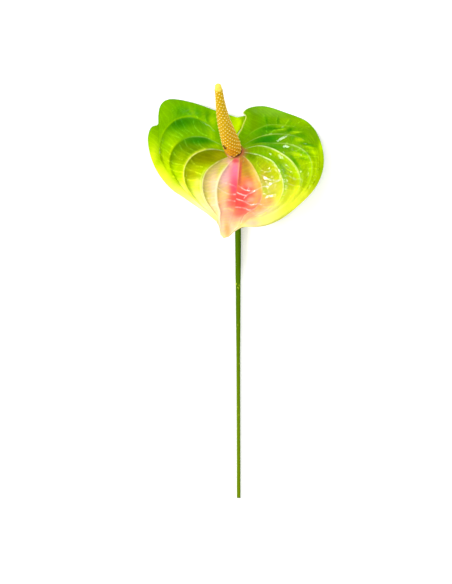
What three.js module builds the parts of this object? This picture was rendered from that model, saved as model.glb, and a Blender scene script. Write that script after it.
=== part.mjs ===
// Cut anthurium lying on its back: stem, spathe and spadix, in millimetres, +Z up.
// Outlines and veins are read from the photograph in its pixels and scaled to size.
import * as THREE from 'three';

// Size and placing
const MM_PER_PX = 0.85;
const COLLAR_PX = [234.3, 151.5];
const COLLAR_HEIGHT = 26.1;
const SEAT_GAP = 0.3;
const SEAT_RISE = 0.7;

// Spathe: the tilted blade
const TILT = 0.55;
const LOBE_DROOP = 0.0012;
const TIP_EASE = 0.0026;
const ARCH = 0.0021;
const LEAN = 0.055;
const FUNNEL = 2.5;
const FUNNEL_REACH = 13;
const THICKNESS = 1.0;
const RIM_THICKNESS = 0.7;

// Spathe: the cup that holds the foot of the spadix
const LIP_RADIUS = 6.6;
const CUP_ROWS = [
  { radius: 3.6, rise: -2.6, inward: 0, thick: 1.0 },
  { radius: 5.85, rise: -1.6, inward: 0.9, thick: 1.0 },
  { radius: 6.55, rise: 0.9, inward: 0.3, thick: 0.7 },
];

// Spathe: relief between the veins
const CHANNEL_PER_WIDTH = 0.15;
const CHANNEL_MAX = 2.1;
const CHANNEL_AT = [0, 0.42, 0.78];
const MARGIN_AT = [0, 0.32, 0.62, 0.84, 0.93, 1];
const CREST = 0.45;
const CREST_FULL_WIDTH = 6;
const CROSS_RIB = { left: 0.25, right: 0.55 };
const CROSS_RIB_EVERY = 3;
const CHANNEL_LEAN = 2.1;
const RELIEF_SPAN = { from: 0.02, rise: 0.12, to: 0.8, fall: 0.17 };
const NARROW_BAND = 2.4;

// Spathe: how the edge moves out of the blade
const EDGE_WAVE = 1.0;
const EDGE_WAVES = 4.5;
const EDGE_DROOP = 1.6;
const EDGE_SPAN = { from: 0.12, rise: 0.12, to: 0.8, fall: 0.15 };
const PLEAT = 2.2;
const PLEAT_AT = 0.505;
const PLEAT_WIDTH = 0.05;
const PLEAT_SPAN = { from: 0.4, rise: 0.08, to: 0.55, fall: 0.14 };
const TOP_ROLL = 5.0;
const TOP_ROLL_SPAN = { from: 0.13, rise: 0.08, to: 0.34, fall: 0.12 };
const SINUS_LIFT = 1.8;
const SINUS_LIFT_SPAN = { from: 0, rise: 0.04, to: 0.12, fall: 0.1 };
const SINUS_DROP = { depth: 4.6, x: -14, overX: 22, y: 4, overY: 9 };
const FLOOR_EASE = 4;

// Shares of the way from the collar to the tip where the blade has a row of corners
const STATIONS = [
  0, 0.02, 0.04, 0.06, 0.08, 0.1, 0.115, 0.13, 0.145, 0.165, 0.19, 0.22, 0.25, 0.28,
  0.31, 0.34, 0.37, 0.4, 0.43, 0.455, 0.48, 0.5, 0.52, 0.54, 0.565, 0.595, 0.625, 0.655,
  0.685, 0.715, 0.745, 0.775, 0.805, 0.835, 0.865, 0.89, 0.915, 0.94, 0.96, 0.98, 1,
];

const VEIN_DIVISIONS = 1200;

// Tip of the spathe: a small round end, its angles counted from the right
const TIP_PX = [224.9, 234.6];
const TIP_RADIUS = 3.3;

// Veins from the midrib out to the margin: angle on the collar, points, angle on the tip
const MIDRIB = [[239.2, 165], [238.2, 174], [237.2, 184], [236.2, 194], [235, 204], [232, 216],
  [228.5, 226]];
const LEFT_VEINS = [
  { from: -50, through: MIDRIB, to: 250 },
  {
    from: -88,
    through: [[226.5, 167], [220.8, 175.5], [217.3, 185], [216.5, 195], [217.6, 205], [219.8, 212.5],
      [219.6, 219], [220.4, 226]],
    to: 190,
  },
  {
    from: -128,
    through: [[216, 163.5], [206.5, 171.5], [202.5, 181.5], [202.6, 192], [206, 202], [212.5, 211],
      [217.6, 218], [219.9, 226]],
    to: 186,
  },
  {
    from: -176,
    through: [[209, 149.7], [193.5, 155.5], [185, 167], [184.2, 180], [190, 193], [201, 206],
      [210.5, 213.5], [217.4, 220], [219.7, 226.5]],
    to: 182,
  },
  {
    from: -206,
    through: [[214, 141.8], [204, 137.6], [188, 138], [173.8, 147.5], [169.2, 164], [176.5, 181.5],
      [197, 203], [209.5, 213.8], [217.2, 220.7], [219.5, 227]],
    to: 178,
  },
  {
    from: -232,
    through: [[214, 130], [204, 121.5], [190, 116.8], [173.5, 121.5], [161.5, 137], [160, 155],
      [170, 177], [189.5, 197.5], [208.7, 213.9], [217, 221.3], [219.3, 227.5]],
    to: 174,
  },
  {
    from: -258,
    through: [[234.5, 139], [238, 133], [244, 125], [248, 119.8], [248.4, 117], [245, 116], [237, 117.3],
      [228.5, 114.7], [215, 110.5], [203, 106], [190, 102], [177, 99.3], [169, 99.2], [163.5, 101.5],
      [160, 106.5], [158.6, 113], [158.9, 120], [158.2, 124.2], [156, 125.8], [153.3, 126.2],
      [150.8, 128.3], [149, 132.5], [148, 139], [148.7, 147], [150.8, 156.5], [155, 167.5],
      [162, 179], [172, 189.5], [184, 197.5], [196, 206], [208, 214.5], [216.7, 221.6], [219.1, 227.5]],
    to: 170,
  },
];
const RIGHT_VEINS = [
  { from: -50, through: MIDRIB, to: 250 },
  {
    from: -34,
    through: [[246.5, 159], [253.5, 168], [259.5, 180], [262, 190], [261, 200], [255.5, 208.5],
      [247.5, 213.6], [243.3, 218], [240.5, 224.5], [235.5, 229]],
    to: 320,
  },
  {
    from: -8,
    through: [[257.5, 155.2], [266, 158.5], [273, 162.6], [279.9, 174], [283, 184], [282, 194],
      [275, 206], [262, 214.5], [249.5, 220.5], [241.5, 226], [235.7, 229.8]],
    to: 323,
  },
  {
    from: 10,
    through: [[258, 145.8], [268, 147], [280.3, 151.6], [292, 162.5], [299, 174.5], [299.5, 187],
      [291, 200], [275, 213], [260, 220], [248, 223.5], [241.3, 226.6], [235.6, 230.3]],
    to: 326,
  },
  {
    from: 24,
    through: [[260, 143.2], [272, 143.6], [286, 144], [299, 148], [309, 157], [312, 171],
      [307, 187], [294, 202], [276, 216], [261, 222.3], [248, 224.6], [241.2, 227.1], [235.4, 230.7]],
    to: 329,
  },
  {
    from: 38,
    through: [[254, 139.8], [263, 136.3], [276, 134.4], [291, 135.6], [303, 139.5], [312.5, 149.5],
      [316, 165], [312, 182], [298, 199.5], [279, 215.8], [262, 223.8], [248, 225.4], [241.1, 227.4],
      [235.2, 231]],
    to: 332,
  },
  {
    from: 54,
    through: [[252, 132.5], [260, 128.2], [268, 125.3], [280, 125.3], [295, 127.3], [307, 133.5],
      [315.5, 146], [319, 160], [316, 178], [303, 196.5], [282.5, 214.5], [263, 225], [248, 226.2],
      [241, 227.7], [235, 231.3]],
    to: 335,
  },
  {
    from: 80,
    through: [[236.8, 140], [237.4, 136], [240.9, 129.8], [244, 121.8], [245.8, 117.4], [245.4, 115],
      [243, 112.9], [244.3, 110.9], [248, 108.6], [254, 106.8], [263, 106], [272, 107.8], [284, 112],
      [296, 116.2], [306, 120.8], [313.5, 128], [319.5, 139], [323, 152], [323.4, 165], [320.5, 177],
      [314.5, 188.5], [304.5, 200], [292, 211], [280, 219.5], [268, 224.8], [257, 227], [247, 227.1],
      [240.9, 228.1], [234.8, 231.7]],
    to: 338,
  },
];

// Spadix: middle line in the photograph with its rise, and its radius along the line
const SPADIX_LINE = [[234.2, 152, 0], [231.2, 144, 8.5], [227.7, 134, 18.2], [223.6, 121, 29],
  [220.4, 104, 41.2], [217.9, 85, 50.4]];
const SPADIX_RADIUS = [[0, 3.4], [0.01, 4.6], [0.022, 5.3], [0.045, 6.1], [0.085, 6.6], [0.14, 6.75],
  [0.25, 6.3], [0.45, 5.25], [0.7, 3.85], [0.88, 2.9], [0.93, 2.75], [0.96, 2.4], [0.985, 1.6], [1, 0.5]];
const FLORETS_AROUND = 11;
const FLORET_RISE_PER_STEP = 0.5;
const BARE_FOOT = 0.04;
const FOOT_TURN = 0.12;
const FINE_ROWS = 3;
const FINE_SHARE = 0.6;
const SHORTEST_ROW = 0.6;
const BARE_TIP = 0.92;

// Stem: middle line from the collar to the cut end, and its radius along the line
const STEM_REACH = 294.5;
const STEM_LINE = [[0, -3.6, -6.6], [0.6, -8.6, -12.7], [1.7, -17.5, -17.6], [2.6, -31, -20.2]];
const STEM_LOW_FROM = [3.1, -56, 5.2];
const STEM_END = [3.7, -STEM_REACH, 1.53];
const STEM_RADIUS = [[0, 3.3], [0.012, 3.3], [0.03, 2.75], [0.1, 2.6], [0.26, 2.55], [0.31, 2.3],
  [0.4, 2.15], [0.52, 1.9], [0.6, 1.65], [0.75, 1.55], [1, 1.53]];
const STEM_SIDES = 16;
const STEM_ROWS = 46;
const STEM_EVENNESS = 0.4;

const clamp = THREE.MathUtils.clamp;
const lerp = THREE.MathUtils.lerp;
const radians = THREE.MathUtils.degToRad;
const smooth = (x) => THREE.MathUtils.smoothstep(x, 0, 1);
const within = (span, u) => smooth((u - span.from) / span.rise) * (1 - smooth((u - span.to) / span.fall));
const alongTable = (table, t) => {
  let i = 1;
  while (i < table.length - 1 && table[i][0] < t) i += 1;
  const [a, b] = [table[i - 1], table[i]];
  return lerp(a[1], b[1], clamp((t - a[0]) / (b[0] - a[0]), 0, 1));
};

const squash = 1 / Math.hypot(1, TILT);
const faceUp = new THREE.Vector3(0, TILT, 1).normalize();
const seat = (rise) => new THREE.Vector3(0, 0, COLLAR_HEIGHT).addScaledVector(faceUp, rise);
const planOf = ([x, y]) => [(x - COLLAR_PX[0]) * MM_PER_PX, (COLLAR_PX[1] - y) * MM_PER_PX];

// Height of the smooth blade over a place in the plan
function bladeHeight(x, y) {
  const away = Math.max(Math.hypot(x, y / squash) - LIP_RADIUS, 0);
  const clear = 1 - Math.exp(-((away / FUNNEL_REACH) ** 2));
  const along = -TILT * y - (y > 0 ? LOBE_DROOP : TIP_EASE) * y * y;
  return COLLAR_HEIGHT + along - ARCH * x * x + clear * (FUNNEL - LEAN * x);
}

function bladeNormal(x, y) {
  const near = 0.5;
  const dx = (bladeHeight(x + near, y) - bladeHeight(x - near, y)) / (2 * near);
  const dy = (bladeHeight(x, y + near) - bladeHeight(x, y - near)) / (2 * near);
  return new THREE.Vector3(-dx, -dy, 1).normalize();
}

// One vein as places in the plan, one for each station
function veinPlaces(vein) {
  const start = radians(vein.from);
  const end = radians(vein.to);
  const tip = planOf(TIP_PX);
  const plan = [
    [LIP_RADIUS * Math.cos(start), LIP_RADIUS * squash * Math.sin(start)],
    ...vein.through.map(planOf),
    [tip[0] + TIP_RADIUS * Math.cos(end), tip[1] + TIP_RADIUS * Math.sin(end)],
  ];
  const curve = new THREE.CatmullRomCurve3(plan.map(([x, y]) => new THREE.Vector3(x, y, 0)));
  curve.arcLengthDivisions = VEIN_DIVISIONS;
  return STATIONS.map((u) => curve.getPointAt(u));
}

// Lift of the blade in one band, b being the share of the way from the inner vein to the outer
function relief(side, band, bands, b, station, width) {
  const marginShare = band === bands - 1 ? 0.5 : 1;
  const depth = Math.min(CHANNEL_PER_WIDTH * width, CHANNEL_MAX) * marginShare;
  const channel = -depth * Math.sin(Math.PI * b ** CHANNEL_LEAN);
  const crest = b === 0 ? CREST * smooth(width / CREST_FULL_WIDTH) : 0;
  const ribbed = (station + band) % CROSS_RIB_EVERY === 0 && width > CREST_FULL_WIDTH;
  const rib = ribbed ? CROSS_RIB[side] * Math.sin(Math.PI * b) : 0;
  return within(RELIEF_SPAN, STATIONS[station]) * (channel + crest + rib);
}

// Lift of the blade towards its margin
function edgeLift(side, band, bands, b, u) {
  if (band < bands - 1) return 0;
  const out = b * b;
  const wave = EDGE_WAVE * Math.sin(2 * Math.PI * EDGE_WAVES * u) - EDGE_DROOP;
  let lift = wave * within(EDGE_SPAN, u);
  if (side === 'left') {
    const turn = 2 * smooth((u - PLEAT_AT) / PLEAT_WIDTH + 0.5) - 1;
    lift += PLEAT * turn * within(PLEAT_SPAN, u);
  } else {
    lift -= TOP_ROLL * within(TOP_ROLL_SPAN, u);
    lift += SINUS_LIFT * within(SINUS_LIFT_SPAN, u);
  }
  return out * lift;
}

// Lobes that would reach below the floor lie flat on it instead
function laidOnFloor(z) {
  if (z > FLOOR_EASE) return z;
  return z < -FLOOR_EASE ? 0 : (z + FLOOR_EASE) ** 2 / (4 * FLOOR_EASE);
}

// The part of the left lobe that lies behind the right one in the sinus
function sinusDrop(x, y) {
  const { depth, x: fromX, overX, y: fromY, overY } = SINUS_DROP;
  return -depth * smooth((x - fromX) / overX) * smooth((y - fromY) / overY);
}

// One side of the blade: a row of columns from the midrib out, each a list of middle points
function bladeSide(side, veins) {
  const places = veins.map(veinPlaces);
  const bands = veins.length - 1;
  const columns = [];
  for (let band = 0; band < bands; band += 1) {
    const cuts = band === bands - 1 ? MARGIN_AT : CHANNEL_AT;
    for (const b of cuts) {
      const angle = radians(lerp(veins[band].from, veins[band + 1].from, b));
      const middle = [];
      const merged = [];
      STATIONS.forEach((u, j) => {
        const place = places[band][j].clone().lerp(places[band + 1][j], b);
        const width = places[band][j].distanceTo(places[band + 1][j]);
        place.z = bladeHeight(place.x, place.y) + edgeLift(side, band, bands, b, u);
        if (side === 'left') place.z += sinusDrop(place.x, place.y);
        const normal = bladeNormal(place.x, place.y);
        place.addScaledVector(normal, relief(side, band, bands, b, j, width));
        place.z = laidOnFloor(place.z);
        const thinning = band === bands - 1 ? b ** 4 : 0;
        const half = lerp(THICKNESS, RIM_THICKNESS, thinning) / 2;
        middle.push({ place, normal, half });
        merged.push(b > 0 && b < 1 && width < NARROW_BAND);
      });
      columns.push({ angle, middle, merged });
    }
  }
  return columns;
}

// Rows of the cup, from the hole up to the lip, under one column
function cupRows(angle) {
  return CUP_ROWS.map(({ radius, rise, inward, thick }) => {
    const x = radius * Math.cos(angle);
    const y = radius * squash * Math.sin(angle);
    const place = new THREE.Vector3(x, y, COLLAR_HEIGHT - TILT * y).addScaledVector(faceUp, rise);
    const towardsAxis = new THREE.Vector3(-x, -y, TILT * y).normalize();
    const normal = faceUp.clone().addScaledVector(towardsAxis, inward).normalize();
    return { place, normal, half: thick / 2 };
  });
}

// Closed blade from the two sides: front and back split alike and a wall round all edges
function spatheGeometry() {
  const left = bladeSide('left', LEFT_VEINS);
  const right = bladeSide('right', RIGHT_VEINS);
  const columns = [...left.reverse(), ...right.slice(1)];
  const grid = columns.map(({ angle, middle, merged }) => ({
    rows: [...cupRows(angle), ...middle.slice(1)],
    merged: [...CUP_ROWS.map(() => false), ...merged.slice(1)],
  }));
  const middleColumn = left.length - 1;
  const count = grid[0].rows.length;
  const owner = (i, j) => {
    if (!grid[i].merged[j]) return i;
    const step = i < middleColumn ? 1 : -1;
    let k = i;
    while (grid[k].merged[j]) k += step;
    return k;
  };
  const positions = [];
  grid.forEach(({ rows }) => rows.forEach(({ place, normal, half }) => {
    const back = place.clone().addScaledVector(normal, -half);
    const front = place.clone().addScaledVector(normal, half);
    const lift = Math.max(-back.z, 0);
    positions.push(front.x, front.y, front.z + lift, back.x, back.y, back.z + lift);
  }));
  const at = (i, j, face) => 2 * (owner(i, j) * count + j) + face;
  const index = [];
  const triangle = (a, b, c) => {
    if (a !== b && b !== c && c !== a) index.push(a, b, c);
  };
  for (let i = 0; i < grid.length - 1; i += 1) {
    for (let j = 0; j < count - 1; j += 1) {
      const [a, b, c, d] = [[i, j], [i + 1, j], [i + 1, j + 1], [i, j + 1]];
      triangle(at(...a, 0), at(...c, 0), at(...b, 0));
      triangle(at(...a, 0), at(...d, 0), at(...c, 0));
      triangle(at(...a, 1), at(...b, 1), at(...c, 1));
      triangle(at(...a, 1), at(...c, 1), at(...d, 1));
    }
  }
  const loop = [];
  for (let i = 0; i < grid.length - 1; i += 1) loop.push([i, 0]);
  for (let j = 0; j < count - 1; j += 1) loop.push([grid.length - 1, j]);
  for (let i = grid.length - 1; i > 0; i -= 1) loop.push([i, count - 1]);
  for (let j = count - 1; j > 0; j -= 1) loop.push([0, j]);
  loop.forEach((a, k) => {
    const b = loop[(k + 1) % loop.length];
    triangle(at(...a, 0), at(...b, 0), at(...b, 1));
    triangle(at(...a, 0), at(...b, 1), at(...a, 1));
  });
  return facingOut(positions, index);
}

// Indexed geometry with its faces turned outwards
function facingOut(positions, index) {
  const geometry = new THREE.BufferGeometry();
  geometry.setAttribute('position', new THREE.Float32BufferAttribute(positions, 3));
  const corner = (i) => new THREE.Vector3().fromArray(positions, 3 * i);
  let volume = 0;
  for (let i = 0; i < index.length; i += 3) {
    volume += corner(index[i]).dot(corner(index[i + 1]).cross(corner(index[i + 2])));
  }
  geometry.setIndex(volume < 0 ? [...index].reverse() : index);
  geometry.computeVertexNormals();
  return geometry;
}

// Closed tube through rings of equal count, with a middle point at each end
function tubeGeometry(rings) {
  const sides = rings[0].length;
  const positions = rings.flat().flatMap((p) => [p.x, p.y, p.z]);
  const index = [];
  for (let i = 0; i < rings.length - 1; i += 1) {
    for (let k = 0; k < sides; k += 1) {
      const [a, b] = [i * sides + k, i * sides + (k + 1) % sides];
      const [c, d] = [b + sides, a + sides];
      if ((i + k) % 2 === 0) index.push(a, b, c, a, c, d);
      else index.push(a, b, d, b, c, d);
    }
  }
  for (const [ring, turn] of [[0, true], [rings.length - 1, false]]) {
    const middle = rings[ring].reduce((sum, p) => sum.add(p), new THREE.Vector3());
    middle.divideScalar(sides);
    positions.push(middle.x, middle.y, middle.z);
    const centre = positions.length / 3 - 1;
    for (let k = 0; k < sides; k += 1) {
      const [a, b] = [ring * sides + k, ring * sides + (k + 1) % sides];
      if (turn) index.push(centre, b, a);
      else index.push(centre, a, b);
    }
  }
  return facingOut(positions, index);
}

// Ring round a curve, in the plane square to it; the first plane can be given
function ringAt(curve, t, radiusAt, sides, plane) {
  const middle = curve.getPointAt(t);
  const along = plane ?? curve.getTangentAt(t);
  const side = new THREE.Vector3(1, 0, 0).addScaledVector(along, -along.x).normalize();
  const up = along.clone().cross(side).normalize();
  const ring = [];
  for (let k = 0; k < sides; k += 1) {
    const angle = (2 * Math.PI * k) / sides;
    const radius = radiusAt(k);
    ring.push(middle.clone().addScaledVector(side, radius * Math.cos(angle))
      .addScaledVector(up, radius * Math.sin(angle)));
  }
  return ring;
}

// Spadix: rows of corners as long as wide, every other corner of each row a floret
function spadixGeometry() {
  const foot = seat(SEAT_RISE + SEAT_GAP / 2);
  const line = SPADIX_LINE.map(([px, py, rise]) => {
    const [x, y] = planOf([px, py]);
    return new THREE.Vector3(x, y, foot.z + rise);
  });
  line[0].z += TILT * (foot.y - line[0].y);
  const curve = new THREE.CatmullRomCurve3(line);
  const length = curve.getLength();
  const sides = 2 * FLORETS_AROUND;
  const rings = [];
  let t = 0;
  for (let row = 0; t < 1; row += 1) {
    const radius = alongTable(SPADIX_RADIUS, t);
    const step = (2 * Math.PI * radius) / sides;
    const bare = t < BARE_FOOT || t > BARE_TIP;
    const raised = (k) => (bare || (row + k) % 2 ? 0 : FLORET_RISE_PER_STEP * step);
    const plane = faceUp.clone().lerp(curve.getTangentAt(t), smooth(t / FOOT_TURN)).normalize();
    rings.push(ringAt(curve, t, (k) => radius + raised(k), sides, plane));
    t += Math.max(row < FINE_ROWS ? FINE_SHARE * step : step, SHORTEST_ROW) / length;
  }
  rings.push(ringAt(curve, 1, () => SPADIX_RADIUS.at(-1)[1], sides));
  return tubeGeometry(rings);
}

// Stem: a neck that bends away under the collar, then a long thin stretch to the cut end
function stemGeometry() {
  const top = seat(SEAT_RISE - SEAT_GAP / 2);
  const neck = STEM_LINE.map(([x, y, z]) => new THREE.Vector3(x, y, COLLAR_HEIGHT + z));
  const low = new THREE.Vector3(...STEM_LOW_FROM);
  const end = new THREE.Vector3(...STEM_END);
  const stretch = [0.25, 0.5, 0.75].map((share) => low.clone().lerp(end, share));
  const curve = new THREE.CatmullRomCurve3([top, ...neck, low, ...stretch, end]);
  const rings = [];
  for (let row = 0; row <= STEM_ROWS; row += 1) {
    const share = row / STEM_ROWS;
    const t = lerp(share * share, share, STEM_EVENNESS);
    const plane = row === 0 ? faceUp.clone().negate() : undefined;
    const square = row === STEM_ROWS ? new THREE.Vector3(0, -1, 0) : plane;
    rings.push(ringAt(curve, t, () => alongTable(STEM_RADIUS, t), STEM_SIDES, square));
  }
  return tubeGeometry(rings);
}

function part(name, geometry, colour, roughness) {
  const material = new THREE.MeshStandardMaterial({ color: colour, roughness, metalness: 0 });
  const mesh = new THREE.Mesh(geometry, material);
  mesh.name = name;
  return mesh;
}

const flower = new THREE.Group();
flower.name = 'anthurium';
flower.add(part('stem', stemGeometry(), 0x5f8a12, 0.45));
flower.add(part('spathe', spatheGeometry(), 0x9fce1c, 0.3));
flower.add(part('spadix', spadixGeometry(), 0xe0a912, 0.55));

// Origin in the middle of the outline, on the floor
const box = new THREE.Box3().setFromObject(flower);
const centre = box.getCenter(new THREE.Vector3());
for (const mesh of flower.children) mesh.geometry.translate(-centre.x, -centre.y, -box.min.z);

export default flower;
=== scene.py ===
# %% [markdown]
# # A cut anthurium, lying face up
# The flower has three pieces: a bare stem, a heart-shaped bract called the spathe, and the spike of
# tiny florets called the spadix. The CAD model gives their places and main forms. This lesson makes a
# finer version of each, and then paints, lights and frames them as a studio photograph.
#
# Everything is worked out in millimetres from the collar, the ring where the three pieces meet, and
# moved to the CAD frame at the end. Outlines and veins are given where they stand in the photograph,
# in its pixels, because they are easy to check there.

import math

import bmesh
import bpy
import numpy as np
from mathutils import Matrix, Vector


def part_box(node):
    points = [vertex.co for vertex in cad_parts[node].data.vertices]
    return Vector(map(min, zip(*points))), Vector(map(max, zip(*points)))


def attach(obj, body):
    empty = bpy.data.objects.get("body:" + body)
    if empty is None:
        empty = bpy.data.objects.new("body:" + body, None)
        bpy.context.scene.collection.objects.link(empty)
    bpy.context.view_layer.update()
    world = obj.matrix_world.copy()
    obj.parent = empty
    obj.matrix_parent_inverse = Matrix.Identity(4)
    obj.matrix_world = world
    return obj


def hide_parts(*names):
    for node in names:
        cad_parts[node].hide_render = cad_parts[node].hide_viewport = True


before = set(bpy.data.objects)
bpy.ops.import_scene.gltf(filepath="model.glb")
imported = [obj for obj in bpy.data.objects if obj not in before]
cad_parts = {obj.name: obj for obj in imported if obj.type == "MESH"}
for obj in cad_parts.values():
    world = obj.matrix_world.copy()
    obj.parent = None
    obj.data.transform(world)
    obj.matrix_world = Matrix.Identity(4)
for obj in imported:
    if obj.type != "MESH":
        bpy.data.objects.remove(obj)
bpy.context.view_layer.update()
print("CAD nodes:", sorted(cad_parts))

# %% Where the collar stands in the frame
METRES = 0.001
MM_PER_PX = 0.85
COLLAR_PX = (234.3, 151.5)
STEM_TOP_RADIUS = 3.3
STEM_REACH = 294.5

stem_low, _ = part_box("stem")
ZERO = np.array([stem_low.x / METRES + STEM_TOP_RADIUS, stem_low.y / METRES + STEM_REACH, 0.0])
print("collar in the frame, mm:", np.round(ZERO, 2))


def from_photo(points):
    """Places in the photograph's pixels as millimetres from the collar, seen from above."""
    points = np.asarray(points, float)
    across = (points[..., 0] - COLLAR_PX[0]) * MM_PER_PX
    up = (COLLAR_PX[1] - points[..., 1]) * MM_PER_PX
    return np.stack([across, up], axis=-1)


def to_photo(x, y):
    """Millimetres from the collar back to the photograph's pixels."""
    return x / MM_PER_PX + COLLAR_PX[0], COLLAR_PX[1] - y / MM_PER_PX


def in_frame(points):
    """Millimetres from the collar as metres in the CAD frame."""
    return (np.asarray(points, float) + ZERO) * METRES


# %% [markdown]
# ## Curves
# A vein, a stem and a spadix are all smooth lines through a few known points. A curve with handles
# needs a handle set at every point. The curve here passes through its points by itself, which suits
# lines that are read off a photograph. Its places are then taken at even steps of length.


# %% Smooth lines through points
def smooth_line(points, steps=60):
    """A curve through every one of the points, finely stepped, with no loops where they are close."""
    p = np.asarray(points, float)
    p = np.vstack([2 * p[0] - p[1], p, 2 * p[-1] - p[-2]])
    t = np.linspace(0, 1, steps, endpoint=False)[:, None]
    out = []
    for p0, p1, p2, p3 in zip(p, p[1:], p[2:], p[3:]):
        pairs = ((p0, p1), (p1, p2), (p2, p3))
        d0, d1, d2 = (max(np.linalg.norm(b - a), 1e-9) ** 0.5 for a, b in pairs)
        m1 = d1 * ((p1 - p0) / d0 - (p2 - p0) / (d0 + d1) + (p2 - p1) / d1)
        m2 = d1 * ((p2 - p1) / d1 - (p3 - p1) / (d1 + d2) + (p3 - p2) / d2)
        out.append(p1 + m1 * t + (3 * (p2 - p1) - 2 * m1 - m2) * t**2 + (2 * (p1 - p2) + m1 + m2) * t**3)
    return np.vstack([*out, p[-2]])


def run_along(line):
    """Length of the line up to each of its points."""
    return np.concatenate([[0], np.cumsum(np.linalg.norm(np.diff(line, axis=0), axis=1))])


def at_shares(line, shares):
    """Places at these shares of the line's length, and its length."""
    run = run_along(line)
    places = [np.interp(np.asarray(shares) * run[-1], run, line[:, k]) for k in range(line.shape[1])]
    return np.stack(places, axis=-1), run[-1]


def smooth(x):
    """0 below 0, 1 above 1, and an easy bend between."""
    x = np.clip(x, 0, 1)
    return x * x * (3 - 2 * x)


def within(span, u):
    """1 inside a span (start, rise, end, fall), easing to 0 outside it."""
    start, rise, end, fall = span
    return smooth((u - start) / rise) * (1 - smooth((u - end) / fall))


def bell(x):
    """1 at 0, falling to nearly 0 at 2 on both sides."""
    return np.exp(-(x**2))


def table(rows, t):
    """Value at t from a table of (t, value)."""
    rows = np.asarray(rows, float)
    return np.interp(t, rows[:, 0], rows[:, 1])


# %% [markdown]
# ## The spathe's veins
# The main veins leave the collar like the ribs of a fan, swing out and run together at the tip. They
# are also the best grid for the mesh: one direction follows the veins, the other crosses them. Each
# vein has an angle where it leaves the collar, its points in the photograph, and an angle where it
# meets the small round tip.

# %% Veins read from the photograph
LIP_RADIUS = 6.6
TIP_PX = (224.9, 234.6)
TIP_RADIUS = 3.3
TILT = 0.55
SQUASH = 1 / math.hypot(1, TILT)

MIDRIB = "239.2,165 238.2,174 237.2,184 236.2,194 235,204 232,216 228.5,226"
LEFT_VEINS = [
    (-50, MIDRIB, 250),
    (-88, """226.5,167 220.8,175.5 217.3,185 216.5,195 217.6,205 219.8,212.5 219.6,219 220.4,226""", 190),
    (-128, """216,163.5 206.5,171.5 202.5,181.5 202.6,192 206,202 212.5,211 217.6,218 219.9,226""", 186),
    (-176, """209,149.7 193.5,155.5 185,167 184.2,180 190,193 201,206 210.5,213.5 217.4,220
        219.7,226.5""", 182),
    (-206, """214,141.8 204,137.6 188,138 173.8,147.5 169.2,164 176.5,181.5 197,203 209.5,213.8
        217.2,220.7 219.5,227""", 178),
    (-232, """214,130 204,121.5 190,116.8 173.5,121.5 161.5,137 160,155 170,177 189.5,197.5
        208.7,213.9 217,221.3 219.3,227.5""", 174),
    (-258, """234.5,139 238,133 244,125 248,119.8 248.4,117 245,116 237,117.3 228.5,114.7 215,110.5
        203,106 190,102 177,99.3 169,99.2 163.5,101.5 160,106.5 158.6,113 158.9,120 158.2,124.2
        156,125.8 153.3,126.2 150.8,128.3 149,132.5 148,139 148.7,147 150.8,156.5 155,167.5 162,179
        172,189.5 184,197.5 196,206 208,214.5 216.7,221.6 219.1,227.5""", 170),
]
RIGHT_VEINS = [
    (-50, MIDRIB, 250),
    (-34, """246.5,159 253.5,168 259.5,180 262,190 261,200 255.5,208.5 247.5,213.6 243.3,218
        240.5,224.5 235.5,229""", 320),
    (-8, """257.5,155.2 266,158.5 273,162.6 279.9,174 283,184 282,194 275,206 262,214.5 249.5,220.5
        241.5,226 235.7,229.8""", 323),
    (10, """258,146 268,147.6 280.3,153.4 292,162.5 299,174.5 299.5,187 291,200 275,213 260,220
        248,223.5 241.3,226.6 235.6,230.3""", 326),
    (24, """260,143.2 272,143.6 286,144 299,148 309,157 312,171 307,187 294,202 276,216 261,222.3
        248,224.6 241.2,227.1 235.4,230.7""", 329),
    (38, """254,139.8 263,136.3 276,134.4 291,135.6 303,139.5 312.5,149.5 316,165 312,182 298,199.5
        279,215.8 262,223.8 248,225.4 241.1,227.4 235.2,231""", 332),
    (54, """252,132.5 260,128.2 268,125.3 280,125.3 295,127.3 307,133.5 315.5,146 319,160 316,178
        303,196.5 282.5,214.5 263,225 248,226.2 241,227.7 235,231.3""", 335),
    (80, """236.8,140 237.4,136 240.9,129.8 244,121.8 245.8,117.4 245.4,115 243,112.9 244.3,110.9
        248,108.6 254,106.8 263,106 272,107.8 284,112 296,116.2 306,120.8 313.5,128 319.5,139 323,152
        323.4,165 320.5,177 314.5,188.5 304.5,200 292,211 280,219.5 268,224.8 257,227 247,227.1
        240.9,228.1 234.8,231.7""", 338),
]


def read_places(text):
    """Places from a text of pairs, such as "239.2,165 238.2,174"."""
    return [[float(number) for number in pair.split(",")] for pair in text.split()]


def vein_line(vein, shares):
    """Plan of one vein at these shares of its length, and its length in millimetres."""
    leave, points, arrive = vein
    start, end = math.radians(leave), math.radians(arrive)
    tip = from_photo(TIP_PX)
    first = (LIP_RADIUS * math.cos(start), LIP_RADIUS * SQUASH * math.sin(start))
    last = (tip[0] + TIP_RADIUS * math.cos(end), tip[1] + TIP_RADIUS * math.sin(end))
    return at_shares(smooth_line([first, *from_photo(read_places(points)), last]), shares)


print("veins:", len(LEFT_VEINS), "left,", len(RIGHT_VEINS), "right, with the midrib in both")

# %% [markdown]
# ## The blade's large form
# The flower lies on its back, so the blade is tilted: its lobes rest on the surface and its tip is in
# the air over the stem. The blade is also a little arched, and it dips to the collar in a funnel.
# These few bends are one height for each place in the plan, the same as in the CAD model.

# %% Height of the smooth blade
COLLAR_HEIGHT = 26.1
LOBE_DROOP = 0.0012
TIP_EASE = 0.0026
ARCH = 0.0021
LEAN = 0.055
FUNNEL = 2.5
FUNNEL_REACH = 13
FLOOR_EASE = 4
FACE_UP = np.array([0, TILT, 1]) * SQUASH


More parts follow.
